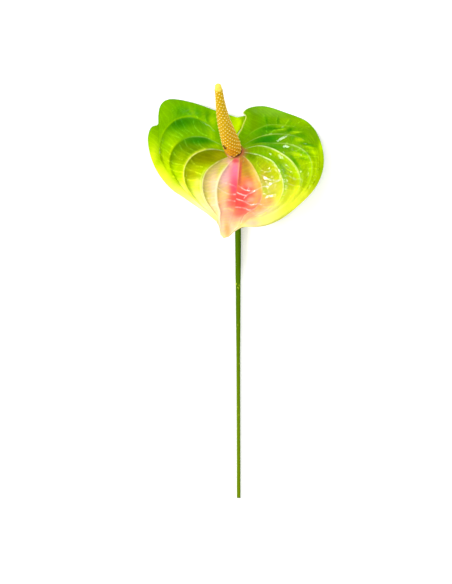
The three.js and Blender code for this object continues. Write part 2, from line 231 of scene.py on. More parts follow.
def blade_height(x, y):
    away = np.maximum(np.hypot(x, y / SQUASH) - LIP_RADIUS, 0)
    clear = 1 - bell(away / FUNNEL_REACH)
    along = -TILT * y - np.where(y > 0, LOBE_DROOP, TIP_EASE) * y * y
    return COLLAR_HEIGHT + along - ARCH * x * x + clear * (FUNNEL - LEAN * x)


def blade_normal(x, y, near=0.5):
    dx = (blade_height(x + near, y) - blade_height(x - near, y)) / (2 * near)
    dy = (blade_height(x, y + near) - blade_height(x, y - near)) / (2 * near)
    normal = np.stack([-dx, -dy, np.ones_like(dx)], axis=-1)
    return normal / np.linalg.norm(normal, axis=-1, keepdims=True)


def laid_on_floor(z):
    """Lobes that would reach below the floor lie flat on it."""
    eased = np.where(z < -FLOOR_EASE, 0, (z + FLOOR_EASE) ** 2 / (4 * FLOOR_EASE))
    return np.where(z > FLOOR_EASE, z, eased)


high_up = round(float(blade_height(0.0, 60.0)), 1)
print("blade height at the collar and 60 mm above it:", COLLAR_HEIGHT, high_up)

# %% [markdown]
# ## Relief between the veins
# An anthurium's blade is embossed: each main vein stands up as a thin crest, the blade sinks just
# inside it, and thin cross veins with small pillows between them join one vein to the next. The
# relief could be a bump map, but then the outline and the exported mesh would be smooth. Here it is
# real height, added along the blade's normal.

# %% Channels, crests and streaks
CHANNEL_PER_WIDTH = 0.15
CHANNEL_MAX = 2.1
CHANNEL_LEAN = 2.1
CREST = {"left": [0.25, 0.35, 0.4, 0.35, 0.2, 0.12, 0], "right": [0.25, 0.35, 0.45, 0.4, 0.2, 0.2, 0.12, 0]}
CREST_WIDTH = 0.7
CREST_FULL_BAND = 6
RELIEF_FROM, RELIEF_RISE, RELIEF_FALL = 0.02, 0.12, 0.18
# Share of the way to the tip at which a band, or the vein it starts from, begins to fade out
BAND_FADES = {"left": [0.8, 0.8, 0.66, 0.52, 0.44, 0.4], "right": [0.8, 0.74, 0.6, 0.5, 0.42, 0.36, 0.3]}
VEIN_FADES = {
    "left": [0.8, 0.9, 0.66, 0.58, 0.46, 0.4, 0],
    "right": [0.8, 0.9, 0.42, 0.36, 0.26, 0.12, 0.2, 0],
}
BAND_DEPTH = {"left": [0.8, 1, 1, 1, 1, 0.5], "right": [0.8, 1, 1, 0.85, 0.5, 0.4, 0.45]}
STREAK_EVERY = 3.3
STREAK_SLANT = {"left": 0.5, "right": -0.3}
STREAK_HEIGHT = 0.07
STREAK_SPAN = (0, 0.15, 0.85, 0.15)
STREAK_FROM_WIDTH, STREAK_FULL_AFTER = 3, 4
STREAK_WANDER_ALONG, STREAK_WANDER_ACROSS, STREAK_SHIFT = 0.2, 0.12, 0.37


def streak_count(side, band, share, b, width, length):
    """How many fine streaks have been passed at a place along a band, as a number with a fraction."""
    along = share * length
    # Even streaks look like a machine's, so they wander, differently in each band
    wander = STREAK_WANDER_ALONG * np.sin(0.35 * along + 2.1 * band)
    wander = wander + STREAK_WANDER_ACROSS * np.sin(5 * b + band)
    return (along - STREAK_SLANT[side] * b * width) / STREAK_EVERY + wander + STREAK_SHIFT * band


def relief_span(end, share):
    return within((RELIEF_FROM, RELIEF_RISE, end, RELIEF_FALL), share)


def relief(side, band, b, share, width, outer_width, length):
    """Lift of the blade in one band, b being the share of the way from the inner vein to the outer."""
    depth = np.minimum(CHANNEL_PER_WIDTH * width, CHANNEL_MAX) * BAND_DEPTH[side][band]
    channel = -depth * np.sin(np.pi * b**CHANNEL_LEAN)
    inner = CREST[side][band] * smooth(width / CREST_FULL_BAND) * bell(b * width / CREST_WIDTH)
    outer_height = CREST[side][band + 1] * smooth(outer_width / CREST_FULL_BAND)
    outer = outer_height * bell((1 - b) * width / CREST_WIDTH)
    count = streak_count(side, band, share, b, width, length)
    clear = within(STREAK_SPAN, b) * smooth((width - STREAK_FROM_WIDTH) / STREAK_FULL_AFTER)
    streak = STREAK_HEIGHT * clear * np.cos(2 * np.pi * count)
    ends = (BAND_FADES[side][band], *VEIN_FADES[side][band: band + 2])
    return sum(relief_span(end, share) * lift for end, lift in zip(ends, (channel + streak, inner, outer)))


# %% [markdown]
# ## Cross veins
# Between the main veins the photograph shows thinner ones, each with its own bend, and the eye reads
# them at once. They are given one by one as short lines of places. A place on the blade is lifted by
# how near it is to the nearest of these lines on its side.

# %% How high the cross veins and pillows stand
CROSS_HEIGHT = {"left": 0.32, "right": 0.45}
CROSS_WIDTH = 0.85
PILLOW = {"left": [0.2, 0.2, 0.2, 0.2, 0.25, 0.25], "right": [0.08, 0.4, 0.6, 0.8, 0.8, 0.8, 0.6]}
PILLOW_REACH = 2.2
PILLOW_EASE = 0.25


def read_lines(text):
    """One list of places for each row of the text."""
    return [read_places(row) for row in text.strip().splitlines()]


# %% Cross veins of the left lobe
LEFT_CROSS = read_lines("""
206.7,136.3 200,133 194.7,126.3 193,119.7
193.3,134.7 186.7,129.7 182.7,123.7 180.3,117.7
186.7,133.7 180.7,129 176.7,125 174.7,120.3
182.7,136.3 176,131.3 171.3,126
181.3,139 175.3,136.3 169.3,133 166.3,131
182.7,107 186.7,113.7 190.7,116.3
176,104.3 180,109.7 183.3,115
170.7,107 174.7,113 177.5,117.5
194.7,108.3 195.3,114.3 198,118.3
206.7,111.7 205,118.3 206.7,122.3
198.7,147 194.7,143 193,139.7
206,150.3 200.5,146 198,140
196.7,152.3 189.3,148.3 186,143.7 184.7,140.3
190.7,155.5 183.3,151 179.3,144.8
182.7,160.3 177.3,157 173.3,152.3
161.3,140.3 168,143.7 172.5,147.5
160.7,147 166.7,151 170.5,155
160.5,154 166.3,158.5 169.5,162
184,166 177.5,164 170,161
183.5,173 177,171.5 170.7,169.5
184.7,180 179,179 173.3,177
202.7,167.7 197.3,165.7 192,161.2 190.3,158.6
201.3,175 196,172.3 186,167.7
200,181 192,180.3 184.5,178
202.7,187 194,187 187,186
204.3,194 197,194.5 191,193.5
216.7,182.3 210,181.7 203,180
216,191 210,191.5 203,190
216.7,198 211,198.3 204.7,198
217.7,205 213,205.5 208.5,205
235.3,195 229,194.5 224.7,192 217.3,188
234.7,201.7 226,200.3 217.3,203
235.8,187.5 229,184 220,181
233.3,211 227,208.7 219.5,210
""")

# %% Cross veins of the right lobe
RIGHT_CROSS = read_lines("""
266.3,125.7 264,117.7 263,113
276,125 276.3,121 277,116
284.7,125.8 287.3,121.7 290.7,118.3
293.3,127 296.7,123.7 301.5,121.5
301,130 305,127 309.5,127
265.6,136 266.5,131 266.3,125.7
269.3,134.7 274,130.8 282,129.9 288.7,126.8
287.3,134.7 292,132 297,132.7 303,132
286.7,144 286.2,139 287.3,135.3
292.7,145 291.5,140 292.6,136
286.7,153.5 294,151.5 300.7,148.8
294,158.5 302,156.5 309,156
301,149 309,146 315,146
303,153 309,151 317.5,151.5
304,158.5 311,156.8 318.7,157.5
304,163.5 311,162.5 318.7,163.5
303.5,168.5 311,168.5 318,169.5
301.7,174 308.3,175 316,176.5
300,180 306.5,182 313.5,183.5
297,186 303.5,189 309,191
282.3,164.3 289,169.7 297,171.9 300,169.7
284,175.3 289,176.5 295.7,179 300,179
285.7,183.7 292,185 299,186.3
283.7,189.5 290,190 297,189.7
281.5,196 288,197 294,196
257.7,157 257,165 261,169.7 267.7,171.7 273.5,168
259.7,175 265,177.7 271.7,179.7 281,180
281,180 273,182.6 268.5,186.6 262.5,187.2
262.5,194 270.3,197.3 280.5,196.5
259.5,204.5 266,207.5 273,206.5
252,212.5 259,216 266,213
238.3,186.3 243,189.5 247.7,191 255,190.3 261.5,187.7
243.7,199 247,195 253,192
236.6,193 241.7,195.2 246,196
236,199.5 244.3,202 251.7,204.8 259,204
235,207.7 244.3,208.3 249.7,210.4 254,209.8
""")

# %% Nearness to the cross veins
CROSS_LINES = {"left": LEFT_CROSS, "right": RIGHT_CROSS}


def near_lines(px, py, lines):
    """Distance in millimetres from each place to the nearest of the lines."""
    nearest = np.full(px.shape, 1e9)
    for line in lines:
        fine = smooth_line(line, steps=6)
        for (ax, ay), (bx, by) in zip(fine, fine[1:]):
            length2 = (bx - ax) ** 2 + (by - ay) ** 2
            t = np.clip(((px - ax) * (bx - ax) + (py - ay) * (by - ay)) / length2, 0, 1)
            nearest = np.minimum(nearest, np.hypot(px - ax - t * (bx - ax), py - ay - t * (by - ay)))
    return nearest * MM_PER_PX


print("cross veins:", len(LEFT_CROSS), "left,", len(RIGHT_CROSS), "right")

# %% [markdown]
# ## The waved edge
# The margin is not flat either: it waves and droops a little, the left lobe has a pleat behind its
# notch, the right lobe rolls down along its top, and in the sinus the left lobe passes behind the
# right one. All of this grows from nothing at the last main vein to its full size at the rim.

# %% Lift towards the margin
EDGE_WAVE, EDGE_WAVES, EDGE_DROOP = 1.0, 4.5, 1.6
EDGE_SPAN = (0.12, 0.12, 0.8, 0.15)
PLEAT, PLEAT_AT, PLEAT_WIDTH = 2.2, 0.505, 0.05
PLEAT_SPAN = (0.4, 0.08, 0.55, 0.14)
TOP_ROLL = 5.0
TOP_ROLL_SPAN = (0.13, 0.08, 0.34, 0.12)
SINUS_LIFT = 1.8
SINUS_LIFT_SPAN = (0, 0.04, 0.12, 0.1)
SINUS_DROP = 4.6
SINUS_LEFT, SINUS_ACROSS = -14, 22
SINUS_LOW, SINUS_UP = 4, 9


def edge_lift(side, b, share):
    lift = (EDGE_WAVE * np.sin(2 * np.pi * EDGE_WAVES * share) - EDGE_DROOP) * within(EDGE_SPAN, share)
    if side == "left":
        turn = 2 * smooth((share - PLEAT_AT) / PLEAT_WIDTH + 0.5) - 1
        lift = lift + PLEAT * turn * within(PLEAT_SPAN, share)
    else:
        lift = lift - TOP_ROLL * within(TOP_ROLL_SPAN, share)
        lift = lift + SINUS_LIFT * within(SINUS_LIFT_SPAN, share)
    return b * b * lift


def sinus_drop(x, y):
    return -SINUS_DROP * smooth((x - SINUS_LEFT) / SINUS_ACROSS) * smooth((y - SINUS_LOW) / SINUS_UP)


# %% [markdown]
# ## The whole blade as columns
# Every band between two veins gets the same set of columns, closer together at the veins so that a
# crest has enough points. Each column keeps its places and also what the paint will need later: how
# far it is from the veins and the rim, and how many streaks it has passed.

# %% Columns of the blade
THICKNESS = 1.0
COARSE_CUTS = [
    0, 0.03, 0.065, 0.105, 0.155, 0.215, 0.285, 0.36, 0.44, 0.52, 0.6, 0.68, 0.755, 0.82, 0.88, 0.93, 0.97,
]
FINE_CUTS = [0, 0.025, 0.05, 0.08, 0.115, *np.arange(0.155, 0.88, 0.045), 0.915, 0.95, 0.98]
FINE_BANDS = 5
BLADE_ROWS = 150
SHARES = np.linspace(0.02, 1, BLADE_ROWS)
FAR = 50.0
FAR_AWAY = np.full(BLADE_ROWS, FAR)


def blade_side(side, veins):
    """Columns from the midrib to the margin: each is a dictionary of arrays along the blade."""
    lines = [vein_line(vein, SHARES) for vein in veins]
    widths = [np.linalg.norm(a[0] - b[0], axis=1) for a, b in zip(lines, lines[1:])]
    last = len(widths) - 1
    columns = []
    for band, width in enumerate(widths):
        (inner, inner_length), (outer, outer_length) = lines[band], lines[band + 1]
        length = min(inner_length, outer_length)
        cuts = FINE_CUTS if side == "right" and band < FINE_BANDS else COARSE_CUTS
        for b in [*cuts, 1.0]:
            x, y = (inner * (1 - b) + outer * b).T
            z = blade_height(x, y)
            if band == last:
                z = z + edge_lift(side, b, SHARES)
            if side == "left":
                z = z + sinus_drop(x, y)
            lift = relief(side, band, b, SHARES, width, widths[min(band + 1, last)], length)
            cross = near_lines(*to_photo(x, y), CROSS_LINES[side])
            lift = lift + CROSS_HEIGHT[side] * bell(cross / CROSS_WIDTH)
            room = smooth(b / PILLOW_EASE) * smooth((1 - b) / PILLOW_EASE)
            room = room * relief_span(BAND_FADES[side][band], SHARES)
            lift = lift + PILLOW[side][band] * room * (1 - bell(cross / PILLOW_REACH))
            place = np.stack([x, y, z], axis=-1) + blade_normal(x, y) * lift[:, None]
            # The middle of the sheet lies half its thickness above the floor
            place[:, 2] = np.hypot(laid_on_floor(place[:, 2]), THICKNESS / 2)
            to_outer = (1 - b) * width
            columns.append({
                "side": side, "band": band, "b": b, "place": place, "cross": cross,
                "angle": math.radians(veins[band][0] + (veins[band + 1][0] - veins[band][0]) * b),
                "count": streak_count(side, band, SHARES, b, width, length),
                "inner": b * width,
                "outer": to_outer if band < last else FAR_AWAY,
                "rim": to_outer if band == last else FAR_AWAY,
            })
    return columns


left_columns = blade_side("left", LEFT_VEINS)
right_columns = blade_side("right", RIGHT_VEINS)
print("columns with both ends of each band:", len(left_columns), "left,", len(right_columns), "right")

# %% [markdown]
# ## The collar
# Round the foot of the spadix the blade turns up into a low lip and then down into a shallow cup
# with a hole for the stem. The rows of the cup continue the columns of the blade inwards, so the
# spathe stays one piece. For every column a smooth line is drawn through the cup's three rings, the
# blade's first place and a later one, and the part before the blade is kept.

# %% Rows of the cup
CUP_RINGS = [(3.6, -2.6), (5.85, -1.6), (6.55, 0.9)]
CUP_ROWS = 11
CUP_STEPS = 20
LATER_ROW = 5


def cup_places(column):
    angle = column["angle"]
    rings = []
    for radius, rise in CUP_RINGS:
        x, y = radius * math.cos(angle), radius * SQUASH * math.sin(angle)
        rings.append(np.array([x, y, COLLAR_HEIGHT - TILT * y]) + FACE_UP * rise)
    line = smooth_line([*rings, column["place"][0], column["place"][LATER_ROW]], steps=CUP_STEPS)
    cup = line[: len(CUP_RINGS) * CUP_STEPS + 1]
    return at_shares(cup, np.linspace(0, 1, CUP_ROWS, endpoint=False))[0]


def keep_once(columns):
    """Drops the first column of each band but the midrib: the last one of the band before is there."""
    return [c for c in columns if c["b"] > 0 or c["band"] == 0]


blade = [*reversed(keep_once(left_columns)), *keep_once(right_columns)[1:]]
grid_places = np.stack([np.vstack([cup_places(c), c["place"]]) for c in blade])
COLUMNS, ROWS = grid_places.shape[:2]
print("grid of the spathe:", COLUMNS, "columns and", ROWS, "rows")

# %% [markdown]
# ## Flats that catch the light
# The wet look of the right lobe comes from small flat places between its veins, each turned just so
# that it mirrors the window into the camera. A place mirrors a light when it faces halfway between
# the light and the camera, so each flat is pressed into the blade as a small plane facing that way.

# %% Flats pressed into the blade
WINDOW = np.array([0.56, 0.62, 0.54])
WINDOW /= np.linalg.norm(WINDOW)
FLAT_TOPPED = 3
# Each is (place in the photograph, half its length and half its width in pixels, turn in degrees)
FLATS = [
    ((281.4, 138.8), (6.2, 2.9), -33), ((286, 147), (5, 2.2), 15), ((302, 140.2), (2.6, 1.8), 0),
    ((282.8, 127), (4.5, 1.4), -3), ((293.6, 128.6), (2.6, 1.4), 12), ((270, 154.5), (3.4, 1.8), 35),
    ((280.6, 157.4), (6.4, 2.6), 35), ((257.4, 154.9), (3, 1.4), 25), ((263, 160), (2.4, 1.5), 70),
    ((268.4, 161.9), (2.2, 1.4), 40), ((278.4, 170.6), (4, 1.4), 55), ((290, 176.9), (2.4, 1.3), 15),
    ((295, 179), (2.8, 1.4), 25), ((265.2, 178), (4, 1.5), 30),
    ((269.5, 184.5), (4.2, 1.5), -42), ((277.5, 181.4), (4, 1.5), -27), ((271, 196.4), (6, 1.5), 8),
    ((241.7, 188), (3.2, 1.5), 28), ((247.8, 190.8), (3, 1.5), 12), ((254.4, 191.6), (4.5, 1.5), -33),
    ((241.4, 194.8), (2.6, 1.5), 28), ((240.8, 200.6), (3, 1.5), 20), ((253, 204.7), (3.8, 1.5), 4),
    ((243, 160.9), (2.3, 1.4), 60), ((209.5, 128.5), (3, 1.5), 45), ((189, 112.5), (2, 1.3), 60),
    ((254.4, 112.7), (1.3, 1.3), 0), ((315, 152.6), (2, 1.5), 0),
    ((307.3, 175.3), (1.8, 1.4), 0), ((301, 181.5), (1.8, 1.4), 20),
]


def oval(px, py, place, size, turn, sharp):
    """1 in the middle of a turned oval and 0 outside it; a high sharp makes it flat-topped."""
    a = math.radians(turn)
    dx, dy = px - place[0], py - place[1]
    along = (dx * math.cos(a) + dy * math.sin(a)) / size[0]
    across = (dy * math.cos(a) - dx * math.sin(a)) / size[1]
    return np.exp(-((along**2 + across**2) ** sharp))


def press_flats(places):
    faces = WINDOW + np.array([0, 0, 1])
    slope = -faces[:2] / faces[2]
    px, py = to_photo(places[..., 0], places[..., 1])
    for spot, size, turn in FLATS:
        cover = oval(px, py, spot, size, turn, FLAT_TOPPED) * (np.arange(ROWS) > CUP_ROWS)
        middle = (places * cover[..., None]).sum((0, 1)) / cover.sum()
        plane = middle[2] + (places[..., :2] - middle[:2]) @ slope
        places[..., 2] += cover * (plane - places[..., 2])
    places[..., 2] = np.maximum(places[..., 2], THICKNESS / 2)


press_flats(grid_places)
print("flats:", len(FLATS))

# %% [markdown]
# ## Painting the blade
# The real colours run into each other as if they were sprayed on: green lobes, yellow margins, cream
# bands and a rose heart. A few named paints and soft strokes copy that, and some strokes also copy
# light and shade: painted shade in sunk channels, creases and under ridges, and painted highlights on
# lit ridges and pillows. A stroke is an oval with soft ends, given where it stands in the photograph,
# and it may be kept to some of the bands because the colours often change at a vein. The strokes are
# laid on each place of the grid and kept as a colour attribute, which the material reads.

# %% Paints and the airbrush
PAINTS = {
    "leaf": (102, 160, 0), "deep": (48, 124, 0), "fresh": (82, 156, 0), "moss": (98, 134, 0),
    "grass": (124, 174, 0), "fern": (144, 172, 0), "bright": (146, 192, 0), "lime": (174, 208, 0),
    "citron": (184, 194, 8), "lemon": (226, 236, 50), "custard": (217, 210, 72), "butter": (243, 241, 124),
    "olive": (134, 140, 0), "straw": (166, 168, 8), "sand": (188, 166, 104), "shell": (213, 183, 118),
    "cream": (246, 201, 166), "peach": (247, 168, 138), "blush": (235, 172, 176), "pink": (248, 120, 156),
    "rasp": (246, 80, 110), "coral": (249, 104, 94), "salmon": (249, 128, 102), "red": (250, 74, 78),
    "amber": (182, 130, 44), "orange": (247, 164, 98), "sun": (198, 238, 0), "mint": (126, 180, 40),
    "cup_shade": (150, 92, 48), "lip": (236, 190, 160), "rose": (192, 98, 72), "petal": (248, 140, 140),
    "ivory": (245, 238, 172), "milk": (247, 224, 192), "gold": (218, 186, 76), "apricot": (249, 182, 106),
    "wine": (204, 72, 78), "russet": (166, 118, 68), "umber": (116, 102, 0), "forest": (44, 136, 0),
}
SPRAY_SHARP = 1.25
BAND_EDGE = 0.07
grid_px, grid_py = to_photo(grid_places[..., 0], grid_places[..., 1])
grid_side = np.array([c["side"] for c in blade])[:, None]
grid_b = np.array([c["b"] for c in blade])[:, None]
# Bands counted from the midrib, with the share of the way through the band as the fraction
grid_v = np.array([c["band"] for c in blade])[:, None] + grid_b


def linear(paint):
    """An sRGB colour of 0 to 255 as linear light."""
    c = np.asarray(paint, float) / 255
    return np.where(c <= 0.04045, c / 12.92, ((c + 0.055) / 1.055) ** 2.4)


def lay(colour, paint, cover):
    """Mixes a paint into the colour where it covers."""
    return colour + (np.asarray(PAINTS[paint], float) - colour) * cover[..., None]


def spray(colour, paint, place, size, turn, strength, bands):
    """Lays one soft oval of paint. bands is (side, first, last), or None for the whole blade."""
    cover = strength * oval(grid_px, grid_py, place, size, turn, SPRAY_SHARP)
    if bands:
        side, first, last = bands
        inside = 1 - smooth((grid_v - last) / BAND_EDGE + 0.5)
        if first > 0:
            inside = inside * smooth((grid_v - first) / BAND_EDGE + 0.5)
        cover = cover * inside * (grid_side == side)
    return lay(colour, paint, cover)


# %% [markdown]
# ## The strokes
# A row names the paint and gives the stroke's place, half its length and half its width in pixels,
# its turn in degrees and its strength. The heading over some rows says on which side they stay and
# from which band to which, counted from the midrib. Later strokes lie over earlier ones.


# %% A reader for strokes, and the paint under them
def read_strokes(text):
    strokes, bands = [], None
    for row in text.strip().splitlines():
        word, *numbers = row.rstrip(":").split()
        numbers = [float(number) for number in numbers]
        if row.endswith(":"):
            bands = (word, *numbers) if numbers else None
        else:
            x, y, long, wide, turn, strength = numbers
            strokes.append((word, (x, y), (long, wide), turn, strength, bands))
    return strokes


# Paint by the height in the photograph
DOWN_THE_BLADE = {
    100: "leaf", 132: "leaf", 150: "grass", 168: "lime", 184: "lime", 196: "lemon", 212: "butter",
}

# %% Strokes on the left lobe
# On the left lobe the deep strokes just inside the outer veins are painted shade in the sunk channels, and
# the bright and dark pairs at the top are painted highlights and painted shade on its pleats.
LEFT_STROKES = read_strokes("""
left 4.6 7:
grass 156 136 9 16 0 0.6
lime 152 153 7 16 0 0.8
left 4.8 7:
lemon 151 162 5 14 20 0.6
left 4.6 7:
lemon 161 177 14 9 45 0.8
left 4 7:
butter 188 203 34 9 38 0.95
left 5.6 7:
butter 157 178 4 9 -30 0.6
left 2 7:
ivory 203 208 15 6 38 0.9
left 5 6:
fresh 190 112 14 5 8 0.7
deep 181 113 6 8 10 0.35
grass 164 114 7 14 0 0.5
bright 214 118 4 12 0 0.5
bright 192.5 112 1.6 5 -22 0.7
fresh 198 112.5 2.4 5 -22 0.8
bright 203.6 116.5 1.4 5 -5 0.6
deep 207.3 117.5 1.9 6 0 0.6
lime 212 121 2.5 5 -20 0.6
left 4 5:
deep 182 123 16 7 -5 0.9
leaf 198 130 12 8 20 0.7
bright 211 130 4 12 -10 0.8
bright 171 142 7 9 0 0.7
lime 165 162 8 12 0 0.8
left 3 4:
moss 190 148 20 7 0 0.95
deep 199 140.5 14 4.5 0 0.95
fern 179 159 9 9 0 0.9
lime 177 173 8 9 0 0.8
butter 184 189 9 7 30 0.8
left 2 3:
olive 204 157 26 11 0 1
umber 217 151.5 8 2.4 8 0.5
straw 190 176 9 11 0 1
lemon 193 184 6 5 40 0.7
butter 197.8 183 3.2 5 15 0.7
straw 219 158 6 5 0 0.8
left 3 5:
lime 217 147.5 6 2.4 8 0.5
left 2 3:
butter 198 196 10 7 35 0.8
left 1 2:
shell 208 182 12 22 0 1
shell 225 161 9 6 -40 1
shell 214 172 5 14 30 0.8
sand 214.5 173 3.6 9 20 0.7
cream 214 188 4 14 0 0.9
cream 214 207 6 9 -25 0.8
left 0 1:
blush 225 176 11 22 10 1
peach 224 206 10 14 0 0.9
blush 221 213 4 6 0 0.6
pink 235 172 6 19 4 1
rasp 234.5 188 5 12 4 1
red 232.5 202 4 10 4 0.8
coral 229 204 3 6 0 0.6
wine 235.4 161.2 4.2 2.2 0 0.9
left 0 2:
blush 229.5 162.5 3 4 0 0.8
left 0 1:
peach 230 216 9 7 0 0.9
""")

# %% Strokes on the right lobe
# On the right lobe the dark strokes round the puckered cells, under the ridges and just outside the veins are
# painted shade, the bright strokes on the cells' tops and on the ridges are painted highlights, the pale
# stroke along the top roll is a painted highlight, and the dark red strip just right of the midrib is painted
# shade in its groove.
RIGHT_STROKES = read_strokes("""
right 4 5:
forest 266 140 14 4.6 -10 1
fresh 292 138 1.8 5 10 0.8
bright 297 145 9 3 15 0.5
grass 284 140 6 4 -20 0.7
sun 299.5 140.2 4.5 2.8 5 0.7
right 4 6:
fresh 301 135.8 7 1.6 10 0.7
right 4 5:
fresh 303 143.6 7 1.6 8 0.4
right 5 6:
fresh 266 130 15 8 0 1
deep 271 129 9 1.8 0 0.8
bright 280 130.4 9 1.1 -8 0.8
bright 273 133 6 0.9 -8 0.6
right 5 7:
bright 281 126.5 7 1.6 -3 0.7
right 5 6:
deep 289.6 130.2 3.2 1.8 -20 0.8
lime 295 133 6 1.3 -10 0.7
right 6 7:
moss 254 125 5 12 0 0.6
bright 286 121 12 5 10 0.7
deep 266.4 120.5 1.3 4.5 -8 0.6
deep 278 121 1.5 4 0 0.6
fresh 290 122.3 1.3 4 35 0.6
right 6.4 8:
mint 271 112 21 5 10 0.85
everywhere:
bright 302 123 13 5 25 0.8
grass 313 136 9 6 55 0.9
sun 321 147 3 6 0 0.9
lime 320.5 160 4 9 0 0.7
bright 321 170 4 5 0 0.6
right 3 4:
fresh 275 147 12 3 8 0.9
leaf 292 151.5 5 1.6 20 0.6
sun 296.5 155 6 2.4 18 0.8
fresh 295 162.5 8 1.7 52 0.8
sun 302 166 3 4 0 0.6
right 4 7:
deep 309 145.4 7 1.2 14 0.6
sun 310 148 6 1.4 10 0.6
sun 313.5 153 4 2.6 10 0.8
right 3 5:
fresh 305 153.6 7 1.1 12 0.6
leaf 303 159 6 1.3 15 0.7
right 4 6:
sun 310.5 163 3.5 3 0 0.7
right 3 6:
grass 307 170 8 7 0 0.3
right 2 3:
grass 258 150 11 6 10 0.9
lime 279 155 11 5 35 0.9
grass 283 170 8 2.2 62 0.8
right 1 3:
leaf 278 163 11 5 35 0.35
right 2 3:
lime 291 172 5 8 0 0.6
citron 291 183 8 6 0 0.9
lemon 288 196 12 9 0 1
right 1 2:
citron 271 174 14 12 0 1
moss 251 155 9 6 30 1
fern 262 161 7 6 35 0.9
custard 271 188 14 8 0 1
citron 265 168 7 5 35 0.7
gold 263 180 4 8 0 0.9
apricot 265 202 11 6.5 0 1
right 1 3:
cream 260 212 14 5 -20 0.9
right 1 2:
orange 259 206.5 6 4 -35 0.9
right 0 1:
coral 247 192 14 22 0 1
amber 246 162 8 10 20 1
gold 254 171.5 8 5 62 1
amber 246 174 4 3 40 0.6
right 0 2:
amber 251.5 167 5 4 60 0.35
right 0 1:
apricot 256 184 3.6 8 -8 0.95
peach 249.6 185 4.4 3.4 25 0.9
red 242 196 6 7 0 0.9
red 241.5 206.5 7 7.5 0 0.9
peach 251 200 4.2 2.8 -10 0.85
salmon 259.5 201 3 9 8 0.8
salmon 254.5 208 4 3 -30 0.8
wine 239.8 174 1.9 15 4 0.9
right 0 2:
russet 243.5 155.5 3 4 0 0.8
right 0 1:
peach 238 218 9 4 0 0.9
right 1 3:
peach 251 217 6 3 -15 0.7
""")

# %% Last strokes, round the collar, the midrib and the tip
# The sun stroke in the sinus is painted light: it keeps the left lobe bright where it lies in the shade
# behind the right one.
LAST_STROKES = read_strokes("""
everywhere:
russet 243.5 151.3 5.5 2.8 8 0.85
right 3 8:
butter 264 221 12 5 -10 0.8
lemon 292 206 20 7 -38 0.8
right 2 8:
cream 252 223.5 9 4 0 0.9
left 0 7:
cream 222 226 4 9 0 0.8
everywhere:
cream 229 229 13 10 20 1
peach 231 218 11 6 0 0.8
right 0 1:
peach 255.5 193 3 4 0 0.6
coral 247 211 9 4 -10 0.9
everywhere:
red 236.6 200 2.8 11 4 0.9
coral 240 214 9 3.5 0 0.7
salmon 251 211.5 5 2.6 -25 0.7
peach 243.5 220 5 3.5 -10 0.7
orange 227.3 230 3 9 -6 0.9
left 5 7:
sun 237 127 10 16 0 1
right 6 8:
grass 246 122 4 9 10 0.8
""")
STROKES = LEFT_STROKES + RIGHT_STROKES + LAST_STROKES

# %% [markdown]
# ## Shades, glows and the collar's ring
# Light alone leaves the sunk channels too pale, so each band gets painted shade where it sinks. Along
# some veins the paint is paler on the side that faces the light, a painted highlight. Round the collar
# lie three rings of paint: a darker rose ring, painted shade in the cup and a pale lip whose paint is a
# painted highlight on its lit side. The right lobe has a painted highlight along its rim where it
# passes over the left one.

# %% Painting it all
# How much darker each band gets, just inside its outer vein on the left and just past its inner one on
# the right, and the share of the way to the tip at which that ends
CHANNEL_SHADE = {
    "left": [(0.05, 0.6), (0.08, 0.62), (0.12, 0.55), (0.2, 0.34), (0.2, 0.24), (0, 0.5)],
    "right": [(0, 0.5), (0.12, 0.4), (0.22, 0.38), (0.2, 0.28), (0.12, 0.2), (0.1, 0.15), (0.05, 0.15)],
}
SHADE_FROM, SHADE_RISE, SHADE_FALL = 0.04, 0.12, 0.25
SHADE_ACROSS = {"left": (0.4, 0.45, 0.96, 0.04), "right": (0, 0.05, 0.05, 0.4)}
SHADE_OF_PAINT = np.array([0.9, 0.5, 1.0])
# Each is (side, vein, paint, span, strength, width in mm on the lit side of the vein)
GLOWS = [
    ("left", 1, "milk", (0.08, 0.12, 0.85, 0.1), 0.8, 1.7),
    ("left", 2, "ivory", (0.18, 0.25, 0.82, 0.12), 0.85, 2.2),
    ("left", 3, "lemon", (0.1, 0.1, 0.5, 0.2), 0.75, 1.5),
    ("left", 3, "lemon", (0.4, 0.12, 0.66, 0.15), 0.6, 3.0),
    ("left", 4, "lime", (0.28, 0.1, 0.52, 0.18), 0.75, 3.0),
    ("left", 5, "bright", (0.1, 0.1, 0.45, 0.15), 0.5, 2.0),
    ("right", 0, "petal", (0.05, 0.1, 0.32, 0.15), 0.7, 0.6),
    ("right", 1, "gold", (0.05, 0.08, 0.4, 0.1), 0.65, 0.9),
    ("right", 1, "salmon", (0.4, 0.1, 0.75, 0.15), 0.6, 1.2),
    ("right", 3, "ivory", (0.05, 0.05, 0.3, 0.15), 0.2, 0.6),
    ("right", 4, "lime", (0.16, 0.06, 0.26, 0.15), 0.3, 0.6),
    ("right", 5, "lime", (0.04, 0.06, 0.16, 0.12), 0.5, 0.7),
    ("right", 6, "bright", (0.04, 0.06, 0.2, 0.12), 0.45, 0.8),
]
DARK_SIDE = 0.45
# Each is (paint, full up to this distance from the collar in mm, gone at this one, strength). The dark
# ring in the cup round the spadix's foot is painted shade, and the pale ring on the lip, laid only
# where the lip is lit, is a painted highlight.
COLLAR_RINGS = [("rose", 6.8, 9, 0.75), ("cup_shade", 6.3, 6.8, 1.0), ("lip", 6.6, 7.1, 0.8)]
# The lip is lit below this height and left of this place in the photograph
LIT_BELOW, LIT_DOWN, LIT_LEFT, LIT_ACROSS = 152, 5, 234, 4
